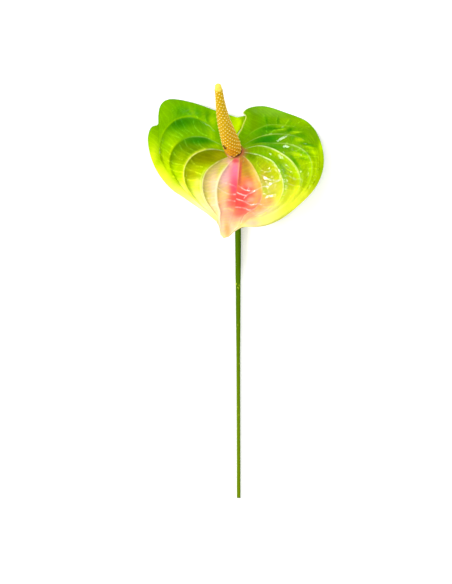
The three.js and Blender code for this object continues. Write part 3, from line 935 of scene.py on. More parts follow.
# Width, strength, least distance from the collar, end and fall of a painted highlight along the right lobe's
# rim where it passes over the left one
RIM_HIGHLIGHT_WIDTH, RIM_HIGHLIGHT_STRENGTH, RIM_HIGHLIGHT_AWAY = 1.2, 0.8, 9
RIM_HIGHLIGHT_ENDS, RIM_HIGHLIGHT_FALL = 0.12, 0.03


def on_grid(name, in_cup=None):
    """An array of the columns over the whole grid; the cup repeats the first value, or in_cup."""
    return np.stack([
        np.concatenate([[c[name][0] if in_cup is None else in_cup] * CUP_ROWS, c[name]]) for c in blade])


def paint_blade():
    share = np.concatenate([np.zeros(CUP_ROWS), SHARES])
    heights, names = list(DOWN_THE_BLADE), DOWN_THE_BLADE.values()
    colour = np.stack([np.interp(grid_py, heights, [PAINTS[n][k] for n in names]) for k in range(3)], axis=-1)
    for stroke in STROKES:
        colour = spray(colour, *stroke)

    for i, c in enumerate(blade):
        amount, end = CHANNEL_SHADE[c["side"]][c["band"]]
        along = within((SHADE_FROM, SHADE_RISE, end, SHADE_FALL), share)
        shade = amount * along * within(SHADE_ACROSS[c["side"]], c["b"])
        colour[i] *= 1 - shade[:, None] * SHADE_OF_PAINT

    inner, outer, band = on_grid("inner"), on_grid("outer"), grid_v - grid_b
    for side, vein, paint, span, strength, width in GLOWS:
        outward, inward = (width, DARK_SIDE) if side == "left" else (DARK_SIDE, width)
        past = bell(inner / outward) * (band == vein)
        before = bell(outer / inward) * (band == vein - 1)
        colour = lay(colour, paint, strength * within(span, share) * (past + before) * (grid_side == side))

    away = np.hypot(grid_px - COLLAR_PX[0], (grid_py - COLLAR_PX[1]) / SQUASH) * MM_PER_PX
    # The lip's pale paint is a painted highlight, laid only where the lip is lit
    lit = smooth((grid_py - LIT_BELOW) / LIT_DOWN) * smooth((LIT_LEFT - grid_px) / LIT_ACROSS)
    for paint, full, gone, strength in COLLAR_RINGS:
        near = (1 - smooth((away - full) / (gone - full))) * strength
        colour = lay(colour, paint, near * lit if paint == "lip" else near)
    # A painted highlight of butter paint along the right lobe's rim in the sinus
    in_sinus = (grid_side == "right") * (1 - smooth((share - RIM_HIGHLIGHT_ENDS) / RIM_HIGHLIGHT_FALL))
    rim = (1 - smooth(on_grid("rim", in_cup=FAR) / RIM_HIGHLIGHT_WIDTH)) * in_sinus * (away > RIM_HIGHLIGHT_AWAY)
    return linear(np.clip(lay(colour, "butter", RIM_HIGHLIGHT_STRENGTH * rim), 0, 255))


blade_paint = paint_blade()
print("strokes on the blade:", len(STROKES))

# %% [markdown]
# ## Gloss and crisp veins
# Only the middle of the right lobe looks wet. A coat of varnish over the whole blade would put a
# grey veil on the greens, so a second attribute says where the gloss is, with a few ovals. A third
# says where the cross veins are white and crisp. Elsewhere they are soft and green.

# %% Where the blade is glossy, and where its cross veins are crisp
DULL, FAINT = 0.04, 0.02
SOFT_OVAL = 2
# Each is (strength, place in the photograph, half its length and half its width in pixels, turn)
GLOSSY = [
    (0.35, (279, 144), (28, 16), 15), (1, (265, 184), (25, 24), 0), (0.9, (286, 168), (8, 8), 0),
    (0.3, (300, 178), (14, 12), -40), (0.4, (208, 128), (7, 5), 40), (0.5, (190, 112), (10, 5), 10),
    (0.4, (254.4, 112.7), (3, 3), 0),
]
MATTE = [(1, (247.8, 179.5), (6, 9), 0), (1, (266, 190.3), (9, 2.6), 0), (1, (276.5, 188.5), (4, 3.5), 0)]
CRISP = [
    (1, (248, 199), (17, 17), 0), (1, (272, 184), (13, 12), 0), (0.35, (292, 180), (10, 7), 0),
    (0.4, (218, 192), (20, 22), 0),
]


def covered(ovals):
    """The strength of the strongest oval at each place, easing to 0 outside them."""
    return np.max([strength * oval(grid_px, grid_py, *one, SOFT_OVAL) for strength, *one in ovals], axis=0)


blade_gloss = np.maximum(covered(GLOSSY) * (1 - covered(MATTE)), DULL)
blade_crisp = np.maximum(covered(CRISP), FAINT)
print("share of the blade that is glossy:", round(float((blade_gloss > 0.5).mean()), 2))

# %% [markdown]
# ## The spathe as a mesh
# The grid operator gives a flat sheet with as many squares as there are steps. Its points are then
# moved to their places on the blade, its corners get two UV maps that follow the veins, and a
# Solidify modifier gives the sheet its thickness.


# %% Sheet of squares laid over the blade
def new_piece(name, bm, materials, smooth_faces=True):
    mesh = bpy.data.meshes.new(name)
    bm.to_mesh(mesh)
    bm.free()
    piece = bpy.data.objects.new(name, mesh)
    bpy.context.scene.collection.objects.link(piece)
    for material in materials:
        mesh.materials.append(material)
    if smooth_faces:
        mesh.polygons.foreach_set("use_smooth", [True] * len(mesh.polygons))
    return piece


# How pale each main vein is at these shares of its length, counted from the midrib
VEIN_SHARES = [0, 0.2, 0.3, 0.42, 0.55, 0.95]
VEIN_SHINE = {
    "left": [
        (0.12, 0.12, 0.08, 0.02, 0.02, 0.08),
        (0.3, 0.3, 0.3, 0.35, 0.4, 0.3),
        (0.25, 0.25, 0.2, 0.2, 0.15, 0),
        (0.25, 0.35, 0.3, 0.25, 0.1, 0),
        (0.1, 0.05, 0, 0, 0, 0),
        (0, 0, 0, 0, 0, 0),
        (0, 0, 0, 0, 0, 0),
    ],
    "right": [
        (0.12, 0.12, 0.08, 0.02, 0.02, 0.08),
        (0.25, 0.2, 0.25, 0.25, 0.2, 0.6),
        (0.4, 0.6, 0.6, 0.7, 0.1, 0),
        (0.3, 0.6, 0.5, 0.15, 0, 0),
        (0, 0.1, 0.25, 0.1, 0, 0),
        (0.08, 0.2, 0, 0, 0, 0),
        (0, 0.05, 0, 0, 0, 0),
        (0, 0, 0, 0, 0, 0),
    ],
}
THREAD_WIDTH = {"left": 1.0, "right": 0.75}


def vein_shine(column):
    inner, outer = VEIN_SHINE[column["side"]][column["band"]: column["band"] + 2]
    b = column["b"]
    along = (1 - b) * np.interp(SHARES, VEIN_SHARES, inner) + b * np.interp(SHARES, VEIN_SHARES, outer)
    return np.concatenate([np.zeros(CUP_ROWS), along])


def thread(column):
    along = bell(column["cross"] / THREAD_WIDTH[column["side"]])
    return np.concatenate([np.zeros(CUP_ROWS), along])


def dress_grid(bm, numbers):
    """Gives the sheet's corners two UV maps and its points their paint and their nearness to veins."""
    veins, reach = (bm.loops.layers.uv.new(name) for name in ("veins", "reach"))
    values = {
        "rim": on_grid("rim"), "shine": np.stack([vein_shine(c) for c in blade]),
        "thread": np.stack([thread(c) for c in blade]), "gloss": blade_gloss, "crisp": blade_crisp,
    }
    layers = {name: bm.verts.layers.float.new(name) for name in values}
    paint = bm.verts.layers.float_color.new("paint")
    for vert in bm.verts:
        i, j = numbers[vert.index]
        for name, layer in layers.items():
            vert[layer] = float(values[name][i, j])
        vert[paint] = (*blade_paint[i, j], 1)
    # A square belongs to the band of its column that is farther from the midrib. Its nearer column
    # may be the end of the band before, and the first column of its own band then stands in.
    middle = len(keep_once(left_columns)) - 1
    starts = {(c["side"], c["band"]): c for c in left_columns + right_columns if c["b"] == 0}
    for face in bm.faces:
        first = min(numbers[loop.vert.index][0] for loop in face.loops)
        far = blade[first if first < middle else first + 1]
        home = (far["side"], far["band"])
        for loop in face.loops:
            i, j = numbers[loop.vert.index]
            row = max(j - CUP_ROWS, 0)
            c = blade[i] if (blade[i]["side"], blade[i]["band"]) == home else starts[home]
            loop[veins].uv = (float(c["count"][row]), far["band"] + c["b"])
            loop[reach].uv = (float(c["inner"][row]), float(c["outer"][row]))


bm = bmesh.new()
bmesh.ops.create_grid(bm, x_segments=COLUMNS - 1, y_segments=ROWS - 1, size=1)
print("points in the sheet:", len(bm.verts), "wanted:", COLUMNS * ROWS)
# The column and the row of each point
numbers = [
    (round((vert.co.x + 1) / 2 * (COLUMNS - 1)), round((vert.co.y + 1) / 2 * (ROWS - 1))) for vert in bm.verts
]
for vert, place in zip(bm.verts, numbers):
    vert.co = in_frame(grid_places[place])
bm.verts.index_update()
dress_grid(bm, numbers)
bmesh.ops.reverse_faces(bm, faces=bm.faces)
bm.normal_update()
up_share = sum(face.normal.z > 0 for face in bm.faces) / len(bm.faces)
print("share of faces that look up:", round(up_share, 3))

# %% [markdown]
# ## Shader helpers
# Materials here are node trees, and a tree gets long when every node is made in full. This small
# class gives short names to the nodes that the materials share: maths, noise, soft steps from one
# distance to another, and mixes of colours.


# %% Short names for nodes
class Nodes:
    """The nodes of one tree. Each call makes a node and gives back its output."""

    def __init__(self, tree):
        self.tree = tree

    def node(self, kind, inputs=None, **settings):
        made = self.tree.nodes.new("ShaderNode" + kind)
        for key, value in settings.items():
            setattr(made, key, value)
        for key, value in (inputs or {}).items():
            if isinstance(value, bpy.types.NodeSocket):
                self.tree.links.new(value, made.inputs[key])
            else:
                made.inputs[key].default_value = value
        return made

    def maths(self, operation, a, b=0.0, clamp=False):
        return self.node("Math", {0: a, 1: b}, operation=operation, use_clamp=clamp).outputs[0]

    def times(self, a, b):
        return self.maths("MULTIPLY", a, b)

    def plus(self, a, b, clamp=False):
        return self.maths("ADD", a, b, clamp)

    def weigh(self, *parts, clamp=False):
        """Sum of values, each with its weight."""
        first, *others = (self.times(*part) for part in parts)
        for n, other in enumerate(others, 2):
            first = self.plus(first, other, clamp=clamp and n == len(parts))
        return first

    def at_least(self, value, least):
        """A value of 0 to 1 squeezed into the span from least to 1."""
        return self.plus(self.times(value, 1 - least), least)

    def place(self):
        return self.node("TexCoord").outputs["Object"]

    def part(self, vector, axis):
        return self.node("SeparateXYZ", {0: vector}).outputs["XYZ".index(axis)]

    def uv(self, name):
        return self.node("UVMap", uv_map=name).outputs[0]

    def stored(self, name, output="Fac"):
        return self.node("Attribute", attribute_name=name).outputs[output]

    def noise(self, place, scale, detail=2.0):
        return self.node("TexNoise", {"Vector": place, "Scale": scale, "Detail": detail}).outputs["Fac"]

    def cells(self, place, scale, feature="F1"):
        return self.node("TexVoronoi", {"Vector": place, "Scale": scale}, feature=feature).outputs["Distance"]

    def measure(self, operation, a, b):
        """DISTANCE of two places, or DOT_PRODUCT of two vectors."""
        return self.node("VectorMath", {0: a, 1: b}, operation=operation).outputs["Value"]

    def soft_step(self, value, span):
        """0 at the start of the span and 1 at its end, easing between. The start may be the larger."""
        start, end = span
        flip = start > end
        spans = {
            "Value": value, "From Min": min(start, end), "From Max": max(start, end),
            "To Min": 1.0 if flip else 0.0, "To Max": 0.0 if flip else 1.0,
        }
        return self.node("MapRange", spans, interpolation_type="SMOOTHSTEP").outputs["Result"]

    def mix(self, factor, a, b, blend="MIX"):
        paints = {6: a, 7: b}
        for key, value in paints.items():
            if not isinstance(value, bpy.types.NodeSocket):
                paints[key] = (*linear(value), 1)
        return self.node("Mix", {0: factor, **paints}, data_type="RGBA", blend_type=blend).outputs[2]

    def bump(self, height, strength, distance):
        inputs = {"Height": height, "Strength": strength, "Distance": distance}
        return self.node("Bump", inputs).outputs[0]

    def finish(self, colour, roughness, bump=None, **sockets):
        inputs = {"Base Color": colour, "Roughness": roughness}
        inputs.update((key.replace("_", " "), value) for key, value in sockets.items())
        if bump is not None:
            inputs["Normal"] = bump
        self.node("OutputMaterial", {0: self.node("BsdfPrincipled", inputs).outputs[0]})


def new_material(name):
    material = bpy.data.materials.new(name)
    material.use_nodes = True
    material.node_tree.nodes.clear()
    return material, Nodes(material.node_tree)


# %% [markdown]
# ## The spathe's face
# The face is waxy. Its paint comes from the colour attribute. Over that the main veins are paler, the
# cross veins are thin pale threads, and a faint net of the finest veins gives the surface a grain.
# Distances come from the UV maps in real millimetres, so the veins keep their width over the whole
# blade. A slow noise breaks the veins here and there, as on the real flower.

# %% Material of the spathe's face
# Spans over which the parts of the pattern come in. Distances to a vein are in millimetres
STREAK_LINE, CLEAR_OF_VEIN, VEIN_LINE = (0.22, 0.04), (0.2, 1.5), (0.46, 0.12)
NET_LINE, THREAD_LINE, MOTTLE_SPOTS = (0.12, 0.02), (0.45, 1.0), (0.35, 0.65)
VEIN_GAPS, THREAD_GAPS, NOT_CRISP = (0.4, 0.55), (0.42, 0.6), (0.4, 0.0)
VEIN_LEFT, THREAD_LEFT = 0.45, 0.3
LIME_LINE, VEIN_COLOUR, THREAD_COLOUR = (255, 255, 90), (255, 253, 216), (255, 242, 230)
VEIN_PALE, THREAD_PALE = 0.66, 0.6
MOTTLE_COLOUR, MOTTLE_DARK = (110, 140, 0), 0.14
VARNISH = 0.6


def spathe_face():
    material, n = new_material("spathe_face")
    reach = n.uv("reach")
    nearest = n.maths("MINIMUM", n.part(reach, "X"), n.part(reach, "Y"))
    fraction = n.maths("FRACT", n.plus(n.part(n.uv("veins"), "X"), 0.5))
    to_streak = n.maths("ABSOLUTE", n.maths("SUBTRACT", fraction, 0.5))
    streak = n.times(n.soft_step(to_streak, STREAK_LINE), n.soft_step(nearest, CLEAR_OF_VEIN))

    place = n.place()
    net = n.soft_step(n.cells(place, scale=620.0, feature="DISTANCE_TO_EDGE"), NET_LINE)
    grain = n.noise(place, scale=1400.0, detail=3.0)
    mottle = n.noise(place, scale=110.0, detail=4.0)
    gaps = n.noise(place, scale=330.0)
    broken = n.at_least(n.soft_step(gaps, VEIN_GAPS), VEIN_LEFT)
    patchy = n.at_least(n.soft_step(gaps, THREAD_GAPS), THREAD_LEFT)

    vein = n.times(n.times(n.soft_step(nearest, VEIN_LINE), n.stored("shine")), broken)
    thread = n.times(n.soft_step(n.stored("thread"), THREAD_LINE), patchy)
    crisp = n.stored("crisp")
    soft_thread = n.times(thread, n.soft_step(crisp, NOT_CRISP))
    lines = n.weigh((soft_thread, 0.6), (streak, 0.11), (net, 0.06), (vein, 0.5), clamp=True)

    colour = n.mix(lines, n.stored("paint", "Color"), LIME_LINE, "OVERLAY")
    colour = n.mix(n.times(vein, VEIN_PALE), colour, VEIN_COLOUR)
    colour = n.mix(n.times(n.times(thread, crisp), THREAD_PALE), colour, THREAD_COLOUR)
    darker = n.mix(MOTTLE_DARK, colour, MOTTLE_COLOUR, "MULTIPLY")
    colour = n.mix(n.soft_step(mottle, MOTTLE_SPOTS), darker, colour)

    height = n.weigh((net, 0.4), (grain, 0.2), (mottle, 1.2))
    bump = n.bump(height, strength=0.4, distance=0.0002)
    varnish = n.times(n.stored("gloss"), VARNISH)
    coat = {"Coat_Weight": varnish, "Coat_Roughness": 0.1}
    n.finish(colour, roughness=0.3, bump=bump, Specular_IOR_Level=0.0, **coat)
    return material


# %% [markdown]
# ## The spathe's back
# The back is paler and duller than the face, and its veins show as fine ridges. It shares the paint,
# mixed with a pale green, so that back and face stay the same flower at the rim.

# %% Material of the spathe's back
BACK_PALE, BACK_VEIN, BACK_GRAIN = (190, 214, 110), (226, 234, 160), (120, 160, 40)
BACK_RIDGE = (0.9, 0.2)


def spathe_back():
    material, n = new_material("spathe_back")
    reach = n.uv("reach")
    nearest = n.maths("MINIMUM", n.part(reach, "X"), n.part(reach, "Y"))
    ridge = n.soft_step(nearest, BACK_RIDGE)
    grain = n.noise(n.place(), scale=300.0, detail=5.0)
    colour = n.mix(0.45, n.stored("paint", "Color"), BACK_PALE)
    colour = n.mix(n.times(ridge, 0.5), colour, BACK_VEIN)
    colour = n.mix(n.times(grain, 0.15), colour, BACK_GRAIN)
    height = n.plus(ridge, n.times(grain, 0.3))
    bump = n.bump(height, strength=0.5, distance=0.0003)
    n.finish(colour, roughness=0.5, bump=bump, Specular_IOR_Level=0.3)
    return material


# %% The spathe piece
RIM_THINNER, RIM_WIDTH = 0.7, 2.5

spathe = new_piece("spathe_blade", bm, [spathe_face(), spathe_back()])
thinner = spathe.vertex_groups.new(name="thickness")
for index, rim in enumerate(spathe.data.attributes["rim"].data):
    share = RIM_THINNER + (1 - RIM_THINNER) * smooth(rim.value / RIM_WIDTH)
    thinner.add([index], float(share), "REPLACE")
wall = spathe.modifiers.new("wall", "SOLIDIFY")
wall.thickness = THICKNESS * METRES
wall.offset = 0
wall.vertex_group = "thickness"
wall.material_offset = 1
wall.material_offset_rim = 1
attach(spathe, "root")
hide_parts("spathe")
print("spathe squares:", len(spathe.data.polygons))

# %% [markdown]
# ## Stalks made from rings
# The stem and the core of the spadix are both tubes whose thickness changes along the way. A circle
# is made once, and then its rim is extruded and moved from place to place along the line.


# %% A tube along a line
def frame_along(line, t, plane=None):
    """Middle, side, up and forward at share t of a line; plane gives the forward direction instead."""
    middle = at_shares(line, [t])[0][0]
    near = 0.002
    a, b = at_shares(line, [max(t - near, 0), min(t + near, 1)])[0]
    forward = np.asarray(plane, float) if plane is not None else b - a
    forward = forward / np.linalg.norm(forward)
    side = np.array([1.0, 0, 0]) - forward * forward[0]
    side /= np.linalg.norm(side)
    return middle, side, np.cross(forward, side), forward


def out_of_skin(side, up, turn):
    """Direction out of the skin at a turn in degrees, 0 being to the side and 90 on top."""
    return side * math.cos(math.radians(turn)) + up * math.sin(math.radians(turn))


def ring_matrix(middle, side, up, forward, radius):
    middle = in_frame(middle)
    m = Matrix.Identity(4)
    for k in range(3):
        m[k][0], m[k][1], m[k][2], m[k][3] = side[k], up[k], forward[k], middle[k]
    return m @ Matrix.Scale(radius * METRES, 4)


def tube(bm, matrices, sides):
    """Skins a tube in an empty bmesh through unit circles placed by the matrices, closed at both ends."""
    bmesh.ops.create_circle(bm, cap_ends=True, segments=sides, radius=1, matrix=matrices[0])
    edges = bm.edges[:]
    for before, after in zip(matrices, matrices[1:]):
        grown = bmesh.ops.extrude_edge_only(bm, edges=edges)["geom"]
        ring = [g for g in grown if isinstance(g, bmesh.types.BMVert)]
        edges = [g for g in grown if isinstance(g, bmesh.types.BMEdge)]
        bmesh.ops.transform(bm, matrix=after @ before.inverted(), verts=ring)
    end = bmesh.ops.contextual_create(bm, geom=edges)["faces"]
    bmesh.ops.recalc_face_normals(bm, faces=bm.faces)
    return end


def ball_template(around, rows):
    """A small ball to stamp many times."""
    bm = bmesh.new()
    bmesh.ops.create_uvsphere(bm, u_segments=around, v_segments=rows, radius=1)
    mesh = bpy.data.meshes.new("template")
    bm.to_mesh(mesh)
    bm.free()
    return mesh


def stamp(bm, template, matrix, squash):
    copy = template.copy()
    copy.transform(matrix @ Matrix.Diagonal((*squash, 1)))
    bm.from_mesh(copy)
    bpy.data.meshes.remove(copy)


# %% [markdown]
# ## The stem
# The stem bends away under the collar and then runs almost straight to its square cut end. It gets
# slowly thinner towards the cut, as in the photograph.

# %% Stem
SEAT_RISE, SEAT_GAP = 0.7, 0.3


def seat(rise):
    return np.array([0, 0, COLLAR_HEIGHT]) + FACE_UP * rise


STEM_NECK = [(0, -3.6, -6.6), (0.6, -8.6, -12.7), (1.7, -17.5, -17.6), (2.6, -31, -20.2)]
STEM_LOW = np.array([3.1, -56, 5.2])
STEM_END = np.array([3.7, -STEM_REACH, 1.53])
STEM_RADIUS = [
    (0, 3.3), (0.012, 3.3), (0.03, 2.75), (0.1, 2.6), (0.28, 2.55), (0.34, 2.35), (0.385, 2.25),
    (0.395, 2.1), (0.52, 1.9), (0.6, 1.65), (0.75, 1.55), (1, 1.53),
]
STEM_SIDES, STEM_RINGS = 28, 300

neck = [np.array([x, y, COLLAR_HEIGHT + z]) for x, y, z in STEM_NECK]
stretch = [STEM_LOW + (STEM_END - STEM_LOW) * s for s in (0, 0.25, 0.5, 0.75, 1)]
stem_line = smooth_line([seat(SEAT_RISE - SEAT_GAP / 2), *neck, *stretch])
stem_rings = []
for t in np.linspace(0, 1, STEM_RINGS):
    # The top ring faces the collar and the last one is cut square
    plane = {0: -FACE_UP, 1: (0, -1, 0)}.get(t)
    stem_rings.append(ring_matrix(*frame_along(stem_line, t, plane), float(table(STEM_RADIUS, t))))
bm = bmesh.new()
for face in tube(bm, stem_rings, STEM_SIDES):
    face.material_index = 1
print("stem faces:", len(bm.faces))

# %% [markdown]
# ## The stem's skin and its cut
# Fibres run along the stem, so the noise for them is stretched along it. Down the stem the green
# turns a little yellower. The cut end is pale, with the dots of its strands.

# %% Materials of the stem
STEM_HIGH, STEM_LOWER, STEM_MOTTLE = (70, 104, 0), (106, 128, 2), (60, 96, 4)
# Places along the stem in metres between which its green turns
STEM_TURNS = (0.06, -0.17)
ALONG_FIBRES = (1.0, 0.03, 1.0)
CUT_STRAND, CUT_FLESH, CUT_DOTS = (150, 168, 60), (214, 224, 150), (0.25, 0.4)
WHITE = (255, 255, 255)


def stem_skin():
    material, n = new_material("stem_skin")
    place = n.place()
    lower = n.soft_step(n.part(place, "Y"), STEM_TURNS)
    stretched = n.node("Mapping", {"Vector": place, "Scale": ALONG_FIBRES}).outputs[0]
    fibre = n.noise(stretched, scale=1500.0, detail=3.0)
    mottle = n.noise(place, scale=120.0, detail=4.0)
    colour = n.mix(lower, STEM_HIGH, STEM_LOWER)
    colour = n.mix(n.times(fibre, 0.25), colour, WHITE, "OVERLAY")
    colour = n.mix(n.times(mottle, 0.3), colour, STEM_MOTTLE)
    height = n.plus(fibre, n.times(mottle, 0.5))
    bump = n.bump(height, strength=0.5, distance=0.0002)
    n.finish(colour, roughness=0.45, bump=bump, Specular_IOR_Level=0.01)
    return material


def stem_cut():
    material, n = new_material("stem_cut")
    strands = n.cells(n.place(), scale=2200.0)
    colour = n.mix(n.soft_step(strands, CUT_DOTS), CUT_STRAND, CUT_FLESH)
    n.finish(colour, roughness=0.6, Specular_IOR_Level=0.2)
    return material


stem = new_piece("stem_stalk", bm, [stem_skin(), stem_cut()])
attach(stem, "root")
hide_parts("stem")

# %% [markdown]
# ## Flecks on the stem
# A few pale flecks, the pores of the skin, break the plain green, and a larger one is the scar of a
# scale where the stem gets thinner. Each is a tiny flattened ball, stamped on the stem at a height in
# the photograph, an angle round the stem, where 90 is on top, and a scale.

# %% Flecks
FLECKS = [
    (284.4, 146, 2.4), (285.8, 35, 1), (284.6, 62, 1.2), (287.2, 96, 1.3), (288.8, 80, 1), (324.5, 100, 1),
    (328.6, 140, 1), (363, 60, 1), (406.5, 120, 1), (414.5, 70, 1), (429.4, 150, 1), (302, 255, 1),
    (345, 220, 1), (381, 300, 1), (440, 262, 1), (470, 232, 1),
]
FLECK_SIZE = (0.5, 0.28, 0.14)
FLECK_GREEN, FLECK_PALE = (166, 186, 30), (206, 216, 70)

stem_run = run_along(stem_line)
fleck_ball = ball_template(8, 6)
bm = bmesh.new()
for py, turn, scale in FLECKS:
    y = (COLLAR_PX[1] - py) * MM_PER_PX
    t = stem_run[np.argmin(np.abs(stem_line[:, 1] - y))] / stem_run[-1]
    middle, side, up, forward = frame_along(stem_line, t)
    out = out_of_skin(side, up, turn)
    skin = middle + out * float(table(STEM_RADIUS, t))
    stamp(bm, fleck_ball, ring_matrix(skin, np.cross(forward, out), forward, out, scale), FLECK_SIZE)


def fleck_skin():
    material, n = new_material("fleck_skin")
    colour = n.mix(n.noise(n.place(), scale=2500.0), FLECK_GREEN, FLECK_PALE)
    n.finish(colour, roughness=0.6, Specular_IOR_Level=0.1)
    return material


flecks = new_piece("stem_flecks", bm, [fleck_skin()])
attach(flecks, "root")
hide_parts("stem")
print("flecks:", len(FLECKS))

# %% [markdown]
# ## The spadix
# The spadix is a fleshy spike. Its core is a tube with a bare foot and a blunt tip. Hundreds of small
# florets sit on it, each with a pale stigma in its middle.

# %% Core of the spadix
SPADIX_LINE = [
    (234.2, 152, 0), (231.2, 144, 8.5), (227.7, 134, 18.2), (223.6, 121, 29), (220.4, 104, 41.2),
    (217.9, 85, 50.4),
]
SPADIX_RADIUS = [
    (0, 3.4), (0.01, 4.6), (0.022, 5.3), (0.045, 6.1), (0.085, 6.6), (0.14, 6.75), (0.25, 6.3),
    (0.45, 5.25), (0.7, 3.85), (0.88, 3.0), (0.93, 2.95), (0.965, 2.9), (0.982, 2.6), (0.993, 1.9), (1, 0.8),
]
FOOT_TURN = 0.12
SPADIX_SIDES = 40
SPADIX_SHARES = [*np.linspace(0, 0.95, 110), *np.linspace(0.955, 1, 16)]

foot = seat(SEAT_RISE + SEAT_GAP / 2)
spadix_points = [(*from_photo((px, py)), foot[2] + rise) for px, py, rise in SPADIX_LINE]
# The foot lies on the tilted seat
spadix_points[0] = (*spadix_points[0][:2], spadix_points[0][2] + TILT * (foot[1] - spadix_points[0][1]))
spadix_line = smooth_line(spadix_points)
SPADIX_LENGTH = at_shares(spadix_line, [1])[1]


def spadix_frame(t):
    forward = frame_along(spadix_line, t)[3]
    ease = float(smooth(t / FOOT_TURN))
    return frame_along(spadix_line, t, FACE_UP * (1 - ease) + forward * ease)


core_rings = [ring_matrix(*spadix_frame(t), float(table(SPADIX_RADIUS, t))) for t in SPADIX_SHARES]
bm = bmesh.new()
tube(bm, core_rings, SPADIX_SIDES)
print("spadix length, mm:", round(float(SPADIX_LENGTH), 1), "faces:", len(bm.faces))

# %% [markdown]
# ## The spadix's skin
# Core, florets and stigmas share one recipe with different colours. The tip has a paler cap, a patch
# at the foot is smooth and orange, and one small blemish is brown. These places are found by their
# distance from a point on the skin, so they lie across all three pieces alike.

# %% Material of the spadix
BLEMISH_AT, BLEMISH_TURN = 0.172, 225
BARE_AT, BARE_TURN = 0.1, 245
SPOT_LIFT = 0.5
CAP, CAP_EASE, CAP_SHARE = 5.5, 1, 0.97
CAP_YELLOW, BARE_ORANGE = (248, 230, 96), (212, 142, 0)
GRAIN_BROWN, BLEMISH_BROWN = (186, 122, 0), (84, 54, 4)
# Heights in the frame between which the spike turns yellower, and edges of its two spots, in metres
SPIKE_RISE, BARE_EDGE, BLEMISH_EDGE, RAGGED = (0.03, 0.062), (0.0075, 0.0045), (0.0038, 0.0028), 0.002
SHEEN = {"Sheen_Weight": 0.3, "Sheen_Roughness": 0.45, "Sheen_Tint": (1.0, 0.9, 0.25, 1)}


def spadix_spot(t, turn):
    """A place just above the skin of the spadix, in the CAD frame."""
    middle, side, up, _ = spadix_frame(t)
    radius = float(table(SPADIX_RADIUS, t)) + SPOT_LIFT
    return tuple(in_frame(middle + out_of_skin(side, up, turn) * radius))


blemish = spadix_spot(BLEMISH_AT, BLEMISH_TURN)
bare = spadix_spot(BARE_AT, BARE_TURN)
tip_direction = Vector(spadix_frame(CAP_SHARE)[3])
tip_place = Vector(in_frame(spadix_line[-1]))


def spadix_skin(name, low, high, roughness):
    material, n = new_material(name)
    place = n.place()
    grain = n.noise(place, scale=500.0, detail=4.0)
    colour = n.mix(n.soft_step(n.part(place, "Z"), SPIKE_RISE), low, high)
    end = tip_place.dot(tip_direction)
    along = n.measure("DOT_PRODUCT", place, tip_direction)
    cap = n.soft_step(along, (end - (CAP + CAP_EASE) * METRES, end - (CAP - CAP_EASE) * METRES))
    colour = n.mix(cap, colour, CAP_YELLOW)
    colour = n.mix(n.times(grain, 0.25), colour, GRAIN_BROWN)
    smoother = n.soft_step(n.measure("DISTANCE", place, bare), BARE_EDGE)
    colour = n.mix(n.times(smoother, 0.85), colour, BARE_ORANGE)
    ragged = n.plus(n.measure("DISTANCE", place, blemish), n.times(grain, RAGGED))
    colour = n.mix(n.soft_step(ragged, BLEMISH_EDGE), colour, BLEMISH_BROWN)
    bump = n.bump(grain, strength=0.4, distance=0.0002)
    n.finish(colour, roughness, bump, Specular_IOR_Level=0.05, **SHEEN)
    return material


spadix = new_piece("spadix_core", bm, [spadix_skin("spadix_flesh", (204, 136, 0), (208, 166, 12), 0.5)])
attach(spadix, "root")
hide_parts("spadix")

# %% [markdown]
# ## Florets and stigmas
# Every floret is a squashed ball half sunk in the core. Turning by the golden angle from one to the
# next fills the spike evenly with two sets of spirals, as the plant does it. Each step along the
# spike is as long as one floret's share of the skin there.

# %% Florets in golden spirals
FLORET_STEP = 2.95
FLORET_FROM, FLORET_TO = 0.03, 0.935
FLORET_SIZE = 0.6
FLORET_TOP, FLORET_SUNK = 0.143, 0.25
STIGMA_SIZE, STIGMA_SUNK, STIGMA_FLAT = 0.54, 0.1, 0.6
GOLDEN = 180 * (3 - math.sqrt(5))
ROOM_OF_HEXAGON = 0.866


def floret_shares():
    """Shares along the spadix at which florets sit, one by one, for even room on the skin."""
    shares, t = [], FLORET_FROM
    while t < FLORET_TO:
        shares.append(t)
        radius = float(table(SPADIX_RADIUS, t)) * (1 + FLORET_TOP)
        t += ROOM_OF_HEXAGON * FLORET_STEP**2 / (2 * math.pi * radius) / SPADIX_LENGTH
    return shares


floret_ball, stigma_ball = ball_template(10, 6), ball_template(8, 5)
floret_bm, stigma_bm = bmesh.new(), bmesh.new()
for number, t in enumerate(floret_shares()):
    middle, side, up, forward = spadix_frame(t)
    out = out_of_skin(side, up, number * GOLDEN)
    facing = (np.cross(forward, out), forward, out)
    radius = float(table(SPADIX_RADIUS, t))
    size, rise = FLORET_STEP * FLORET_SIZE, FLORET_TOP * radius
    m = ring_matrix(middle + out * (radius + FLORET_SUNK * rise), *facing, 1)
    stamp(floret_bm, floret_ball, m, (size, size, (1 - FLORET_SUNK) * rise))
    m = ring_matrix(middle + out * (radius + rise - STIGMA_SUNK), *facing, STIGMA_SIZE)
    stamp(stigma_bm, stigma_ball, m, (1, 1, STIGMA_FLAT))
print("florets:", number + 1)

florets = new_piece(
    "spadix_florets", floret_bm, [spadix_skin("floret_skin", (220, 156, 0), (214, 174, 14), 0.45)])
stigmas = new_piece(
    "spadix_stigmas", stigma_bm, [spadix_skin("stigma_skin", (255, 238, 138), (252, 244, 160), 0.4)])
for piece in (florets, stigmas):
    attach(piece, "root")
    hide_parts("spadix")

# %% [markdown]
# ## The floor
# The photograph is a cut-out on white. The floor is plain and nearly white, and it glows a little by
# itself so that the shadows on it stay faint.

# %% Floor
FLOOR_SIZE, FLOOR_GLOW = 6, 0.2
FLOOR_GREY, FLOOR_WHITE = (246, 246, 246), (250, 250, 250)


